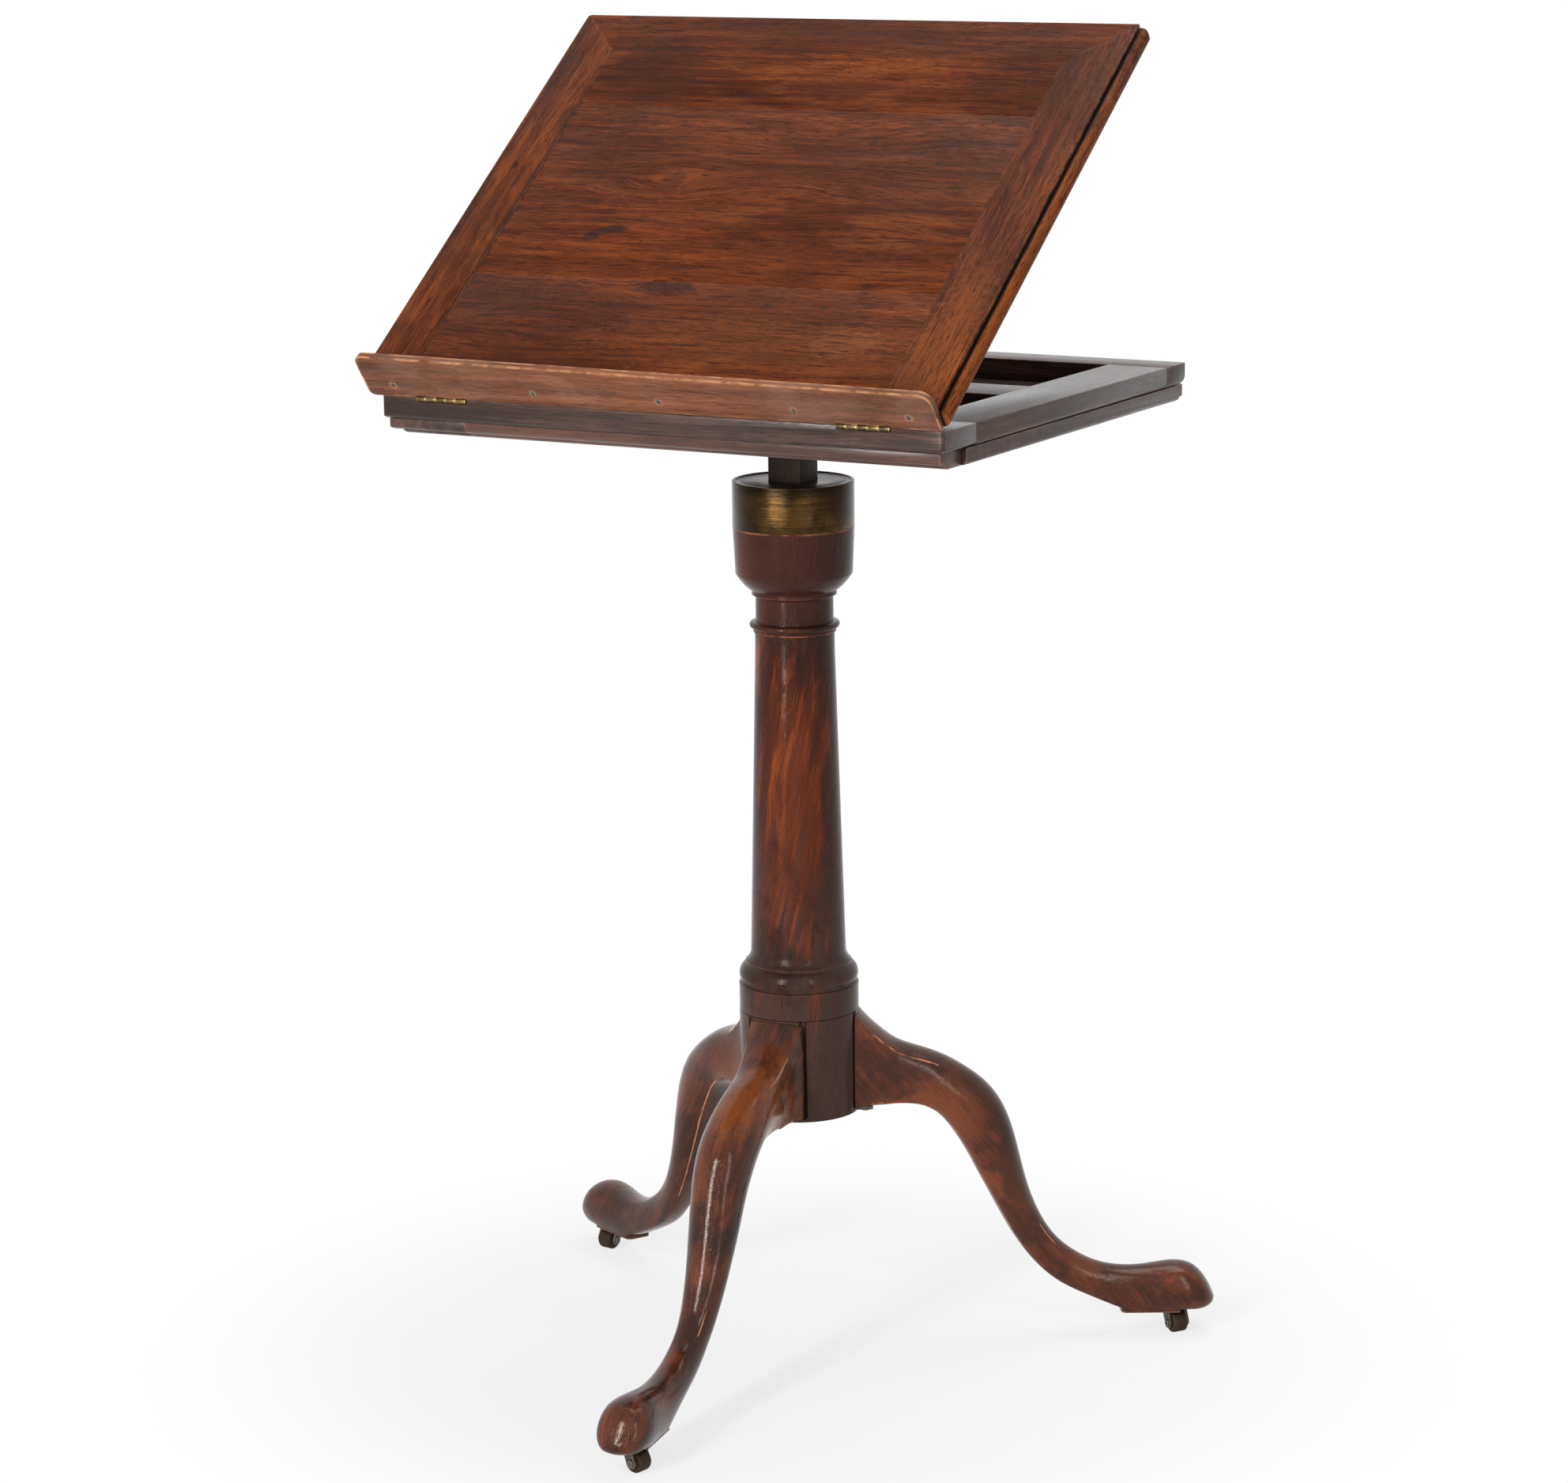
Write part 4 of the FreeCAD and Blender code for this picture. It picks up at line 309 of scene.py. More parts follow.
    # arrises rubbed here and there, but not in corners or in the unworn places
    rubbed = wood.fade(layer("rubbed", place), *woodMasks["rubbed"])
    edge = wood.fade(wood.arrises(look["arrisReach"]), look["arrisFrom"], look["arrisTo"])
    edge = wood.calc("MULTIPLY", edge, wood.fade(wood.hollows(openReach), *woodMasks["open"]))
    for middle, reaches in look["unworn"]:
        reach = wood.reach(wood.away(place, middle), reaches)
        edge = wood.calc("MULTIPLY", edge, wood.fade(reach, *woodMasks["unworn"]))
    edge = wood.calc("MULTIPLY", wood.calc("MULTIPLY", edge, rubbed), look["arrisShare"])
    if look["lineShare"]:
        line = wood.fade(wood.attribute("worn", "Fac"), look["lineFrom"], lineWhole)
        rubbedLine = wood.fade(layer("rubbedLine", place), *woodMasks["rubbedLine"])
        line = wood.calc("MULTIPLY", wood.calc("MULTIPLY", line, rubbedLine), look["lineShare"])
        edge = wood.calc("MAXIMUM", edge, line)
    colour = wood.blend(edge, colour, look["worn"])

    # polish and relief
    vary = woodDullness["broad"]
    dull = wood.gather((
        (wood.fade(broad, *woodMasks["broad"], -vary, vary), 1.0),
        (pores, woodDullness["pores"]), (hollowShade, woodDullness["hollows"]),
    ))
    roughness = wood.calc("MULTIPLY_ADD", dull, look["roughVary"], look["roughness"])
    height = wood.gather((
        (layer("ripple", place), look["ripple"] * woodRelief["ripple"]),
        (bands, woodRelief["bands"]), (fibre, woodRelief["fibre"]), (pores, woodRelief["pores"]),
    ))
    normal = wood.bumped(height, look["bump"], look["bumpDepth"], look["rounding"])
    shine = {"Coat Weight": look["coat"], "Coat Roughness": look["coatRoughness"],
             "Specular IOR Level": look["specular"], "Specular Tint": (*look["sheen"], 1)}
    return wood.finish(colour, roughness, normal, shine)


metalDefaults = {
    "clean": (0.50, 0.34, 0.12), "dull": (0.16, 0.10, 0.05), "dirt": (0.03, 0.022, 0.016),
    "worn": (0.60, 0.42, 0.17), "wornShare": 0.7, "stainAndShadeSpots": (),
    "grainScale": (6, 900, 900), "patinaScale": (60, 60, 60), "patinaShare": 0.6,
    "dullFrom": 0.40, "dullTo": 0.66, "dirtFrom": 0.2, "dirtTo": 0.7, "hollowReach": 0.004,
    "arrisFrom": 0.12, "arrisTo": 0.45, "arrisReach": 0.0012,
    "roughness": 0.36, "roughVary": 0.25, "patinaMiddle": 0.4, "metal": 1.0,
    "bump": 0.25, "bumpDepth": 0.0002, "patinaRelief": 0.6, "rounding": 0.0004,
}


def metalFinish(name, look):
    look = {**metalDefaults, **look}
    metal = Nodes(bpy.data.materials.new(name))
    grain, place = metal.attribute("grain"), metal.attribute("place")
    scratches = metal.noise(grain, look["grainScale"], 3.0, 0.65)
    patina = metal.noise(place, look["patinaScale"], 5.0, 0.65)
    share = look["patinaShare"]
    patina = metal.gather(((patina, share), (scratches, 1 - share)))
    mask = metal.fade(patina, look["dullFrom"], look["dullTo"])
    colour = metal.blend(mask, look["clean"], look["dull"])
    colour = metal.stainsAndShade(colour, place, patina, look["stainAndShadeSpots"])
    hollowShade = metal.fade(metal.hollows(look["hollowReach"]), look["dirtFrom"], look["dirtTo"])
    colour = metal.blend(hollowShade, colour, look["dirt"])
    edge = metal.fade(metal.arrises(look["arrisReach"]), look["arrisFrom"], look["arrisTo"])
    colour = metal.cover(colour, edge, look["wornShare"], look["worn"])
    uneven = metal.calc("SUBTRACT", patina, look["patinaMiddle"])
    roughness = metal.calc("MULTIPLY_ADD", uneven, look["roughVary"], look["roughness"])
    height = metal.gather(((scratches, 1.0), (patina, look["patinaRelief"])))
    normal = metal.bumped(height, look["bump"], look["bumpDepth"], look["rounding"])
    return metal.finish(colour, roughness, normal, {"Metallic": look["metal"]})


# dressing: a softened copy of each solid, with its grain written on its points

skin = {"weld": 2e-6, "flatTurn": 0.4, "softFrom": 32, "sharpFrom": 40}     # metres and degrees


def applyAll(piece):
    graph = bpy.context.evaluated_depsgraph_get()
    graph.update()
    finished = bpy.data.meshes.new_from_object(piece.evaluated_get(graph))
    piece.modifiers.clear()
    old = piece.data
    piece.data = finished
    bpy.data.meshes.remove(old)


def softCopy(node, width, steps=2, flat=True):
    source = frame["nodes"][node]
    mesh = source.data.copy()
    mesh.name = node + "_skin"
    work = bmesh.new()
    work.from_mesh(mesh)
    bmesh.ops.remove_doubles(work, verts=work.verts, dist=skin["weld"])
    if flat:
        turn = math.radians(skin["flatTurn"])
        bmesh.ops.dissolve_limit(work, angle_limit=turn, verts=work.verts, edges=work.edges)
    work.to_mesh(mesh)
    work.free()
    for name in ("custom_normal", "sharp_face"):
        if name in mesh.attributes:
            mesh.attributes.remove(mesh.attributes[name])
    piece = bpy.data.objects.new(node + "_skin", mesh)
    piece.matrix_world = source.matrix_world.copy()
    scene.collection.objects.link(piece)
    if width:
        bevel = piece.modifiers.new("softened", "BEVEL")
        bevel.width = width
        bevel.segments = steps
        bevel.limit_method = "ANGLE"
        bevel.angle_limit = math.radians(skin["softFrom"])
        bevel.use_clamp_overlap = True
        applyAll(piece)
    piece.data.shade_smooth()
    piece.data.set_sharp_from_angle(angle=math.radians(skin["sharpFrom"]))
    return piece


def writePoints(piece, values):     # two vectors for each point: along the grain, and the place
    for name, numbers in zip(("grain", "place"), values):
        attribute = piece.data.attributes.new(name, "FLOAT_VECTOR", "POINT")
        attribute.data.foreach_set("vector", numbers)


def writeGrain(piece, axes, offset, origin=centre, placeAxes=roomAxes):
    grain, place = [], []
    for vertex in piece.data.vertices:
        point = piece.matrix_world @ vertex.co - origin
        grain += [point.dot(axis) + extra for axis, extra in zip(axes, offset)]
        place += [point.dot(axis) for axis in placeAxes]
    writePoints(piece, (grain, place))


def writeRoundGrain(piece, radius):     # round the column's axis: around, up, out
    grain, place = [], []
    for vertex in piece.data.vertices:
        point = piece.matrix_world @ vertex.co
        turn = math.atan2(point.y, point.x)
        grain += [turn * radius, point.z, math.hypot(point.x, point.y)]
        place += list(point)
    writePoints(piece, (grain, place))


def writeWorn(piece, leastTurn, clearRadius, leastHeight):     # 1 on outer arrises
    work = bmesh.new()
    work.from_mesh(piece.data)
    worn = [0.0] * len(work.verts)
    for edge in work.edges:
        if len(edge.link_faces) == 2 and edge.calc_face_angle_signed() > leastTurn:
            for vertex in edge.verts:
                point = piece.matrix_world @ vertex.co
                if math.hypot(point.x, point.y) > clearRadius and point.z > leastHeight:
                    worn[vertex.index] = 1.0
    work.free()
    piece.data.attributes.new("worn", "FLOAT", "POINT").data.foreach_set("value", worn)


def dress(node, piece, material):
    piece.data.materials.clear()
    piece.data.materials.append(material)
    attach(piece, bodyOf[node])
    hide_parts(node)


shuffle = ((37, 101, 50), (53, 97, 90), (71, 89, 90))     # times, remainder of, shared by


def scatter(name):     # a steady offset for each piece's grain, from the letters of its name
    total = sum((place + 3) * ord(letter) for place, letter in enumerate(name))
    return tuple(total * times % remainder / parts for times, remainder, parts in shuffle)


# slope: three boards and two clamps

slopeLook = {
    "dark": (0.030, 0.006, 0.0025), "mid": (0.098, 0.019, 0.0045), "light": (0.215, 0.049, 0.010),
    "worn": (0.36, 0.12, 0.04), "glow": (0.235, 0.064, 0.015), "grimeAndShade": (0.008, 0.004, 0.003),
    "bands": 190.0, "bandShare": 0.40, "broadShare": 0.34, "fibreShare": 0.24,
    "figureShare": 0.02, "rings": 60.0, "spread": (0.40, 0.51, 0.62), "run": 2.6, "pores": 0.9,
    "cloud": 9.0, "cloudFrom": 0.48, "cloudTo": 0.70, "cloudShare": 0.28,
    "patches": (9, 30), "patchShare": 0.50, "streaks": 0.80, "streakFrom": 0.56, "streakTo": 0.65,
    "seamReach": 0.0025, "seamFrom": 0.05, "seamTo": 0.22, "specks": 1.0,
    "arrisShare": 0.35, "roughness": 0.46, "roughVary": 0.10, "specular": 0.09,
    "sheen": (1.0, 0.45, 0.22), "bump": 0.9,
    "knots": (     # x, up the slope, half length, half width in mm, pull
        (-79, 226, 60, 34, 0.88), (-127, 216, 26, 16, 0.80), (-34, 112, 60, 26, 0.75),
        (30, 250, 120, 50, -0.7), (90, 170, 90, 40, 0.6), (-120, 60, 90, 40, 0.6),
    ),
    "marks": (     # x, up the slope, half length, half width in mm, turn, depth, colour
        (-106, 168, 18, 6, 14, 0.85, (0.022, 0.010, 0.010)),
        (-121, 160, 8, 6, 10, 0.80, (0.022, 0.010, 0.010)),
        (-10, 128, 190, 34, 3, 0.40, (0.150, 0.034, 0.008)),
        (-34, 111, 27, 9, 3, 0.88, (0.026, 0.007, 0.005)),
        (-79, 226, 11, 8, 0, 0.60, (0.045, 0.016, 0.008)),
        (-127, 220, 12, 8, 0, 0.45, (0.045, 0.016, 0.008)),
        (-28, 132, 22, 3, 5, 0.60, (0.035, 0.010, 0.006)),
        (66, 272, 5, 3, 30, 0.75, (0.020, 0.008, 0.006)),
        (109, 261, 3, 3, 0, 0.75, (0.020, 0.008, 0.006)),
        (128, 252, 4, 3, 0, 0.75, (0.020, 0.008, 0.006)),
        (27, 129, 12, 2, 0, 0.70, (0.020, 0.008, 0.006)),
        (126, 121, 8, 2.5, 0, 0.75, (0.020, 0.008, 0.006)),
        (55, 97, 3, 2.5, 0, 0.80, (0.015, 0.007, 0.006)),
        (100, 97, 4, 1.8, 0, 0.70, (0.015, 0.007, 0.006)),
        (10, 330, 60, 12, 2, 0.40, (0.045, 0.014, 0.008)),
        (130, 336, 22, 9, 4, 0.50, (0.030, 0.012, 0.008)),
        (-60, 240, 150, 60, 4, 0.30, (0.036, 0.009, 0.004)),
        (20, 385, 220, 26, 0, 0.40, (0.034, 0.009, 0.005)),
        (-150, 330, 40, 60, 0, 0.35, (0.045, 0.014, 0.008)),
        (128, 62, 34, 14, 8, 0.22, (0.300, 0.125, 0.050)),
        (60, 55, 150, 34, 0, 0.30, (0.190, 0.055, 0.014)),
        (183.2, 200, 1.6, 170, 0, 0.75, (0.012, 0.005, 0.004)),     # dark lines at the joints
        (-200, 200, 2.8, 190, 0, 0.85, (0.012, 0.005, 0.004)),
    ),
}
clampLook = {
    **slopeLook, "dark": (0.030, 0.007, 0.003), "mid": (0.110, 0.024, 0.006),
    "light": (0.230, 0.056, 0.012), "figureShare": 0.0, "cloudShare": 0.5, "arrisShare": 0.6,
    "knots": (), "marks": (
        (-222, 234, 3, 6, 20, 0.8, (0.020, 0.008, 0.006)),
        (196, 380, 10, 14, 40, 0.5, (0.030, 0.012, 0.008)),
        (-204, 288, 8, 16, 0, 0.6, (0.030, 0.012, 0.008)),
        (205, 340, 30, 90, 0, 0.45, (0.045, 0.014, 0.008)),
        (205, 40, 26, 110, 0, 0.38, (0.290, 0.080, 0.020)),
        (212, 150, 18, 60, 0, 0.22, (0.060, 0.016, 0.006)),
        (231, 150, 4, 260, 0, 0.65, (0.260, 0.070, 0.018)),     # the bead, lighter as painted light on its side, and the quirk beside it, near-black as painted shade in the groove with its dirt
        (226.7, 200, 1.7, 300, 0, 0.95, (0.007, 0.005, 0.004)),
        (181.6, 200, 1.0, 170, 0, 0.60, (0.012, 0.005, 0.004)),
        (-200.5, 190, 2.0, 180, 0, 0.70, (0.012, 0.005, 0.004)),
        (-222, 330, 24, 70, 0, 0.25, (0.045, 0.014, 0.008)),
    ),
}
slopeSoftening = 0.45 * mm
boardsOffset = (0.4, 0.2, 0.6)     # the three boards share one figure
boardWood = woodFinish("slopeBoardWood", slopeLook)
clampWood = woodFinish("slopeClampWood", clampLook)
for node in ("slope_board_lower", "slope_board_middle", "slope_board_upper"):
    piece = softCopy(node, slopeSoftening)
    writeGrain(piece, slopeAxes, boardsOffset, hingeLine, slopeAxes)
    dress(node, piece, boardWood)
for node in ("slope_clamp_left", "slope_clamp_right"):
    piece = softCopy(node, slopeSoftening)
    writeGrain(piece, (upSlope, across, offSlope), scatter(node), hingeLine, slopeAxes)
    dress(node, piece, clampWood)
print("slope dressed")

# ledge

ledgeLook = {
    "dark": (0.050, 0.016, 0.009), "mid": (0.140, 0.044, 0.020), "light": (0.235, 0.080, 0.036),
    "worn": (0.52, 0.24, 0.11), "glow": (0.27, 0.10, 0.045), "haze": (0.26, 0.17, 0.13),
    "bands": 160.0, "spread": (0.42, 0.51, 0.60), "cloudShare": 0.5, "patchShare": 0.4,
    "hazeShare": 0.22, "streaks": 0.8, "pores": 0.7, "arrisShare": 1.0, "arrisReach": 0.0020,
    "arrisFrom": 0.05, "arrisTo": 0.25, "roughness": 0.38, "specular": 0.25, "bump": 0.7,
}
piece = softCopy("ledge", 0.9 * mm, 3)
writeGrain(piece, slopeAxes, scatter("ledge"), hingeLine, slopeAxes)
dress("ledge", piece, woodFinish("ledgeWood", ledgeLook))
print("ledge dressed")

# frame and the board under it

frameLook = {
    "dark": (0.010, 0.006, 0.005), "mid": (0.028, 0.014, 0.011), "light": (0.110, 0.056, 0.042),
    "worn": (0.30, 0.11, 0.065), "grimeAndShade": (0.006, 0.005, 0.005), "bands": 130.0, "run": 2.0,
    "spread": (0.36, 0.50, 0.62), "streaks": 0.6, "arrisShare": 0.8, "roughness": 0.27,
    "coat": 0.10, "coatRoughness": 0.15, "specular": 0.28, "sheen": (1.0, 0.93, 0.90),
    "bump": 0.45,
}
underLook = {
    **frameLook, "mid": (0.046, 0.024, 0.019), "light": (0.125, 0.058, 0.042),
    "worn": (0.36, 0.13, 0.07), "arrisShare": 0.9, "coat": 0.2, "roughness": 0.30,
}
stripLook = {**underLook, "mid": (0.060, 0.026, 0.019), "light": (0.115, 0.046, 0.030)}
frameWood = woodFinish("frameWood", frameLook)
underWood = woodFinish("underBoardWood", underLook)
stripWood = woodFinish("frontStripWood", stripLook)
backAxes = (back, across, up)     # grain from front to back
topSoftening = 0.5 * mm
topPieces = {
    "frame_front_rail": (frameWood, roomAxes), "frame_back_rail": (frameWood, roomAxes),
    "frame_cross_rail": (frameWood, roomAxes), "frame_left_rail": (frameWood, backAxes),
    "frame_right_rail": (frameWood, backAxes), "board_main": (underWood, roomAxes),
    "board_left_clamp": (underWood, backAxes), "board_front_strip": (stripWood, roomAxes),
}
for node, (material, axes) in topPieces.items():
    piece = softCopy(node, topSoftening)
    writeGrain(piece, axes, scatter(node))
    dress(node, piece, material)
print("frame and board dressed")

# column

columnLook = {
    "dark": (0.012, 0.004, 0.003), "mid": (0.060, 0.012, 0.006), "light": (0.150, 0.032, 0.010),
    "worn": (0.44, 0.13, 0.06), "glow": (0.270, 0.056, 0.012), "grimeAndShade": (0.015, 0.007, 0.006),
    "bands": 120.0, "broadShare": 0.30, "run": 1.8, "spread": (0.40, 0.50, 0.62),
    "cloud": 16.0, "cloudFrom": 0.50, "cloudTo": 0.66, "cloudShare": 0.65,
    "patches": (14, 85), "patchShare": 0.72, "streaks": 0.8,
    "arrisShare": 1.0, "arrisReach": 0.0018, "arrisFrom": 0.10,
    "roughness": 0.14, "specular": 0.14, "sheen": (1.0, 0.80, 0.70), "bump": 0.3,
    "unworn": (((0, 0, 235), (200, 200, 58)),),     # middle, reaches in mm
    "stainAndShadeSpots": (     # middle, reaches in mm, depth, colour: real stains, painted light and painted shade
        # painted light: orange on the front of the shaft, where the light falls on it
        ((17, -28, 445), (26, 26, 85), 0.30, (0.200, 0.042, 0.010)),
        ((-8, -28, 370), (20, 20, 45), 0.30, (0.160, 0.034, 0.009)),
        # painted shade: darker low on the shaft's right, and dark down both sides of the shaft
        # where it turns from the light
        ((28, -14, 350), (18, 22, 40), 0.55, (0.050, 0.022, 0.016)),
        ((-32, -4, 440), (15, 25, 160), 0.55, (0.022, 0.007, 0.004)),
        ((38, 8, 440), (15, 32, 160), 0.80, (0.022, 0.008, 0.006)),
        ((0, 0, 306), (90, 90, 20), 0.85, (0.012, 0.007, 0.006)),
        ((0, 0, 150), (330, 330, 215), 0.92, (0.054, 0.031, 0.026)),     # the leg block
        ((0, 0, 582), (90, 90, 36), 0.75, (0.022, 0.011, 0.009)),
        ((0, 0, 630), (260, 260, 62), 0.88, (0.044, 0.015, 0.012)),     # the cup
        ((-26, -32, 622), (16, 16, 30), 0.55, (0.085, 0.018, 0.009)),
        # painted shade: dark on the cup's right side
        ((40, 10, 615), (22, 32, 40), 0.60, (0.022, 0.010, 0.009)),
    ),
}
columnGrain = {"lean": (0.16, 0.09), "offset": (0.3, 0.1, 0.2)}     # the figure leans to the right
leanRight, leanBack = columnGrain["lean"]
piece = softCopy("column", 0.0, flat=False)
leaningAxes = (up, across - up * leanRight, back - up * leanBack)
writeGrain(piece, leaningAxes, columnGrain["offset"])
dress("column", piece, woodFinish("columnWood", columnLook))

capLook = {
    "dark": (0.010, 0.008, 0.007), "mid": (0.026, 0.020, 0.017), "light": (0.055, 0.042, 0.035),
    "haze": (0.08, 0.07, 0.066), "hazeShare": 0.4, "roughness": 0.34, "coat": 0.4, "specular": 0.4,
}
piece = softCopy("collar_cap", 0.4 * mm)
writeGrain(piece, roomAxes, scatter("cap"))
dress("collar_cap", piece, woodFinish("capWood", capLook))

bandLook = {
    "clean": (0.078, 0.043, 0.013), "dull": (0.026, 0.015, 0.007), "dirt": (0.010, 0.007, 0.005),
    "worn": (0.20, 0.12, 0.05), "grainScale": (5, 1500, 40), "dullTo": 0.60,
    "roughness": 0.20, "roughVary": 0.14, "bump": 1.0, "stainAndShadeSpots": (
        # painted shadow of the top above, with some patina: darker round the band's top rim, on its
        # right and at its front left
        ((0, 0, 675), (90, 90, 7), 0.85, (0.014, 0.009, 0.006)),
        ((42, -4, 664), (22, 22, 16), 0.80, (0.020, 0.011, 0.008)),
        ((-20, -40, 660), (18, 18, 22), 0.60, (0.022, 0.014, 0.008)),
    ),
}
bandRadius = 45 * mm
piece = softCopy("brass_band", 0.4 * mm)
writeRoundGrain(piece, bandRadius)
dress("brass_band", piece, metalFinish("oldBandBrass", bandLook))
print("column dressed")

# legs

legLook = {
    **columnLook, "dark": (0.010, 0.004, 0.003), "mid": (0.066, 0.015, 0.007),
    "light": (0.150, 0.034, 0.012), "glow": (0.230, 0.052, 0.014), "worn": (0.66, 0.27, 0.13),
    "bands": 130.0, "run": 1.5, "cloud": 24.0, "cloudFrom": 0.48, "cloudTo": 0.60,
    "cloudShare": 0.62, "patches": (14, 34), "patchShare": 0.50, "streaks": 0.5,
    "arrisReach": 0.0020, "arrisFrom": 0.12, "arrisTo": 0.34, "arrisShare": 0.4,
    "lineFrom": 0.62, "lineShare": 0.85, "unworn": (((0, 0, 235), (60, 60, 150)),),
    "roughness": 0.13, "roughVary": 0.14, "specular": 0.34, "ripple": 1.0, "stainAndShadeSpots": (
        ((8, -92, 212), (22, 50, 40), 0.70, (0.300, 0.080, 0.018)),
        ((80, 48, 182), (44, 44, 30), 0.50, (0.250, 0.062, 0.016)),
        ((130, 84, 120), (34, 34, 36), 0.50, (0.200, 0.048, 0.014)),
        ((190, 126, 60), (30, 30, 18), 0.40, (0.220, 0.060, 0.018)),
        ((62, 34, 222), (26, 26, 22), 0.60, (0.020, 0.008, 0.006)),
        ((-250, 140, 30), (50, 50, 30), 0.55, (0.030, 0.014, 0.010)),
        ((-60, 30, 190), (40, 40, 30), 0.45, (0.200, 0.052, 0.018)),
    ),
}
legTurns = {"leg_front": -86.4, "leg_right": 33.75, "leg_left": 151.4}     # degrees round
legGrainLean = math.radians(-52)     # the boards were cut with the grain down the knee
wornArris = {"leastTurn": math.radians(14), "clearRadius": 56 * mm, "leastHeight": 72 * mm}
legWood = woodFinish("legWood", legLook)
for node, degrees in legTurns.items():
    piece = softCopy(node, 0.0, flat=False)
    turn = math.radians(degrees)
    out = Vector((math.cos(turn), math.sin(turn), 0))
    beside = up.cross(out)
    along = out * math.cos(legGrainLean) + up * math.sin(legGrainLean)
    writeGrain(piece, (along, beside, along.cross(beside)), scatter(node))
    writeWorn(piece, **wornArris)
    dress(node, piece, legWood)
print("legs dressed")

# post, its guide, the strut and its ratchets

postLook = {
    "dark": (0.006, 0.005, 0.005), "mid": (0.012, 0.010, 0.010), "light": (0.022, 0.018, 0.017),
    "worn": (0.060, 0.040, 0.030), "grimeAndShade": (0.004, 0.004, 0.004), "arrisShare": 0.4,
    "roughness": 0.5,
}
piece = softCopy("post", 0.5 * mm)
writeGrain(piece, (up, across, back), scatter("post"))
dress("post", piece, woodFinish("postBlack", postLook))

innerLook = {
    "dark": (0.05, 0.026, 0.014), "mid": (0.13, 0.068, 0.034), "light": (0.22, 0.12, 0.06),
    "worn": (0.3, 0.17, 0.09), "roughness": 0.5, "coat": 0.05,
}
innerSoftening = 0.3 * mm
strutLean = math.radians(-37.865)
alongStrut = Vector((0, math.cos(strutLean), math.sin(strutLean)))
innerPieces = {     # along and over the grain
    "post_guide": (up, across), "ratchet_left": (back, across), "ratchet_right": (back, across),
    "strut_arm_left": (alongStrut, across), "strut_arm_right": (alongStrut, across),
    "strut_foot_bar": (across, back),
}
innerWood = woodFinish("innerWood", innerLook)
for node, (along, side) in innerPieces.items():
    piece = softCopy(node, innerSoftening)
    writeGrain(piece, (along, side, along.cross(side)), scatter(node))
    dress(node, piece, innerWood)
print("post and strut dressed")

# metal fittings and castor wheels

hingeLook = {
    "clean": (0.24, 0.15, 0.055), "dull": (0.045, 0.030, 0.018), "dullFrom": 0.36, "dullTo": 0.56,
    "stainAndShadeSpots": (((160, -205, 748), (110, 80, 40), 0.85, (0.020, 0.016, 0.014)),),
}
ironLook = {
    "clean": (0.11, 0.10, 0.09), "dull": (0.045, 0.030, 0.022), "dirt": (0.012, 0.009, 0.008),
    "worn": (0.22, 0.19, 0.16), "grainScale": (300, 300, 300), "metal": 0.8, "roughness": 0.48,
}
screwLook = {
    **ironLook, "clean": (0.16, 0.12, 0.09), "dull": (0.06, 0.04, 0.028),
    "worn": (0.32, 0.24, 0.17),
}
wheelLook = {
    "dark": (0.012, 0.009, 0.008), "mid": (0.034, 0.022, 0.016), "light": (0.07, 0.045, 0.03),
    "worn": (0.12, 0.08, 0.055), "roughness": 0.5,
}
fittingFinishes = {
    "hinge_brass": metalFinish("hingeBrass", hingeLook),
    "bracket_brass": metalFinish("bracketBrass", hingeLook),
    "brass_screws": metalFinish("brassScrews", hingeLook),
    "castor_iron": metalFinish("castorIron", ironLook),
    "wrought_iron": metalFinish("wroughtIron", ironLook),
    "iron_screws": metalFinish("ironScrews", screwLook),
    "hinge_pin_steel": metalFinish("pinSteel", screwLook),
    "spring_steel": metalFinish("springSteel", screwLook),
    "castor_wheel": woodFinish("castorWheelWood", wheelLook),
}
fittingSoftening = 0.15 * mm
for node, slot in slotOf.items():
    if slot in fittingFinishes:
        piece = softCopy(node, 0.0 if "wheel" in node else fittingSoftening)
        writeGrain(piece, roomAxes, scatter(node))
        dress(node, piece, fittingFinishes[slot])
print("fittings dressed")

# floor, white to the camera further out, and grey near the stand so that its shadow stays

floorLook = {"colour": 0.90, "clearFrom": 0.27, "clearTo": 0.55, "nearShare": 0.74, "reach": 7.0}
white = (1, 1, 1, 1)


def makeFloor():
    work = bmesh.new()
    bmesh.ops.create_circle(work, cap_ends=True, segments=96, radius=floorLook["reach"])
    mesh = bpy.data.meshes.new("floor")
    work.to_mesh(mesh)
    work.free()
    floor = bpy.data.objects.new("floor", mesh)
    scene.collection.objects.link(floor)
    paint = Nodes(bpy.data.materials.new("paleFloor"))
    reach = paint.length(paint.add("TexCoord").outputs["Object"])
    near = floorLook["nearShare"]
    fade = paint.fade(reach, floorLook["clearFrom"], floorLook["clearTo"], near, 1.0)
    clear = paint.calc("MULTIPLY", fade, paint.seenRays())
    level = floorLook["colour"]
    plain = paint.add("BsdfDiffuse", {"Color": (level, level, level, 1)}).outputs[0]
    bright = paint.add("Emission", {"Color": white, "Strength": 1.0}).outputs[0]
    mixed = paint.add("MixShader", {0: clear, 1: plain, 2: bright}).outputs[0]
    paint.add("OutputMaterial", {0: mixed})
    mesh.materials.append(paint.owner)


makeFloor()

# world: white where it is seen, and soft where it lights the stand

worldLook = {"light": 0.26, "seen": 1.0}


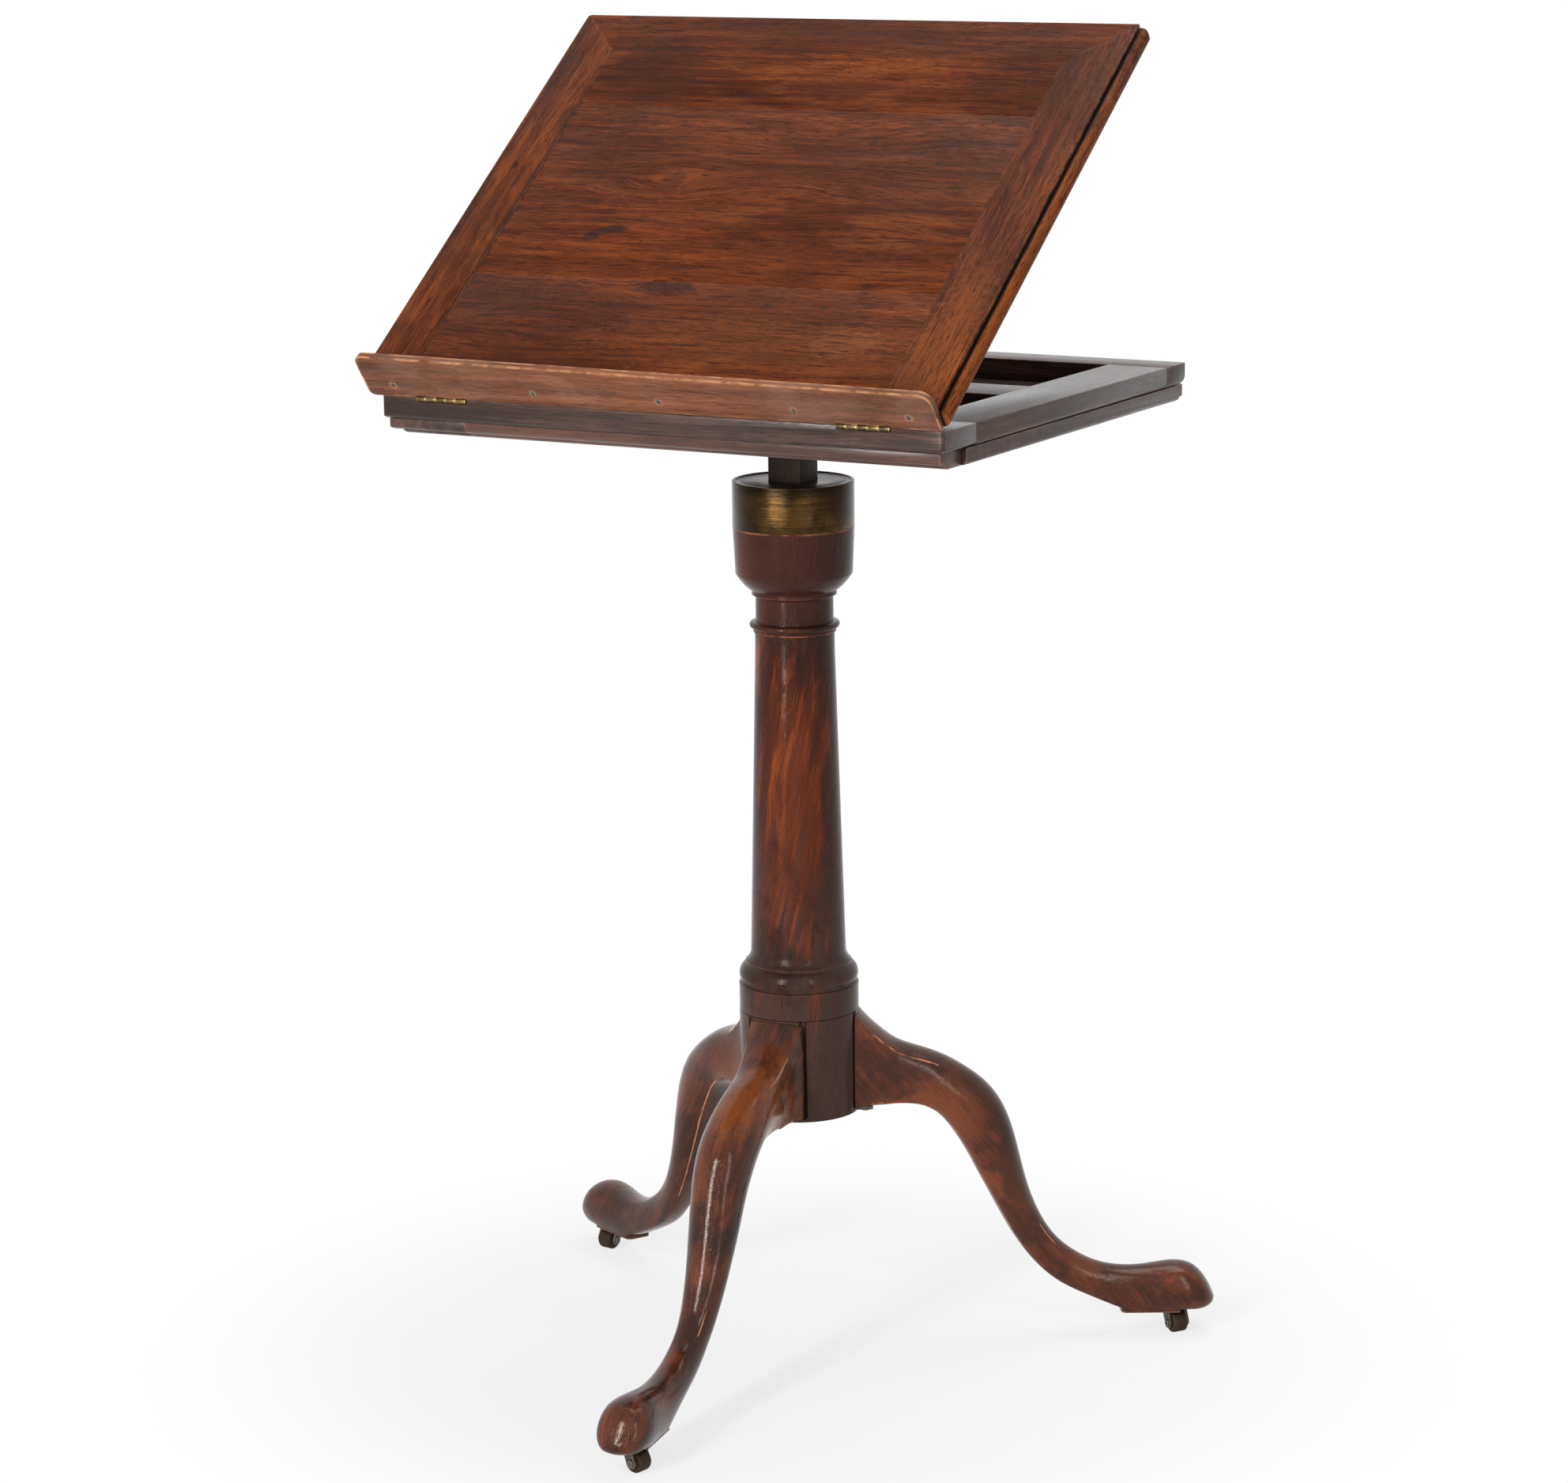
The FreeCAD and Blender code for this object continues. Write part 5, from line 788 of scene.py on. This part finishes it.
def makeWorld():
    world = bpy.data.worlds.new("studio")
    scene.world = world
    sky = Nodes(world)
    soft, bright = (sky.add("Background", {0: white, 1: worldLook[key]}).outputs[0]
                    for key in ("light", "seen"))
    mixed = sky.add("MixShader", {0: sky.seenRays(), 1: soft, 2: bright}).outputs[0]
    sky.add("OutputWorld", {0: mixed})


makeWorld()

lamps = {     # name: place, aim, width, height, power in watts
    "leftSoftbox": ((-0.22, -2.49, 1.15), (0, 0, 0.62), 0.34, 2.1, 60),
    "rightSoftbox": ((2.05, -1.48, 1.25), (0, 0, 0.62), 0.20, 2.1, 13),
    "topSoftbox": ((0.2, 0.5, 2.7), (0, 0, 0.5), 1.6, 1.6, 30),
}
for name, (place, aim, width, height, power) in lamps.items():
    light = bpy.data.lights.new(name, "AREA")
    light.shape = "RECTANGLE"
    light.size = width
    light.size_y = height
    light.energy = power
    lamp = bpy.data.objects.new(name, light)
    lamp.location = place
    lamp.rotation_euler = (Vector(aim) - Vector(place)).to_track_quat("-Z", "Y").to_euler()
    scene.collection.objects.link(lamp)

# camera: place in metres, lens and sensor in millimetres, angles in degrees

cameraLook = {
    "place": (1.60476, -2.90725, 1.18623), "lens": 103.76, "sensor": 36,
    "turn": 29.055, "down": 12.071, "roll": -0.715,
}


def placeCamera():
    turn, down, roll = (math.radians(cameraLook[key]) for key in ("turn", "down", "roll"))
    right = Vector((math.cos(turn), math.sin(turn), 0))
    ahead = Vector((-math.sin(turn), math.cos(turn), 0))
    forward = ahead * math.cos(down) - up * math.sin(down)
    upward = right.cross(forward)
    rolledRight = right * math.cos(roll) + upward * math.sin(roll)
    rolledUp = upward * math.cos(roll) - right * math.sin(roll)
    axes = Matrix((rolledRight, rolledUp, -forward)).transposed()
    data = bpy.data.cameras.new("camera")
    data.sensor_width = cameraLook["sensor"]
    data.lens = cameraLook["lens"]
    camera = bpy.data.objects.new("camera", data)
    camera.matrix_world = Matrix.Translation(cameraLook["place"]) @ axes.to_4x4()
    scene.collection.objects.link(camera)
    scene.camera = camera


placeCamera()
scene.view_settings.view_transform = "Standard"
print("light and camera placed")
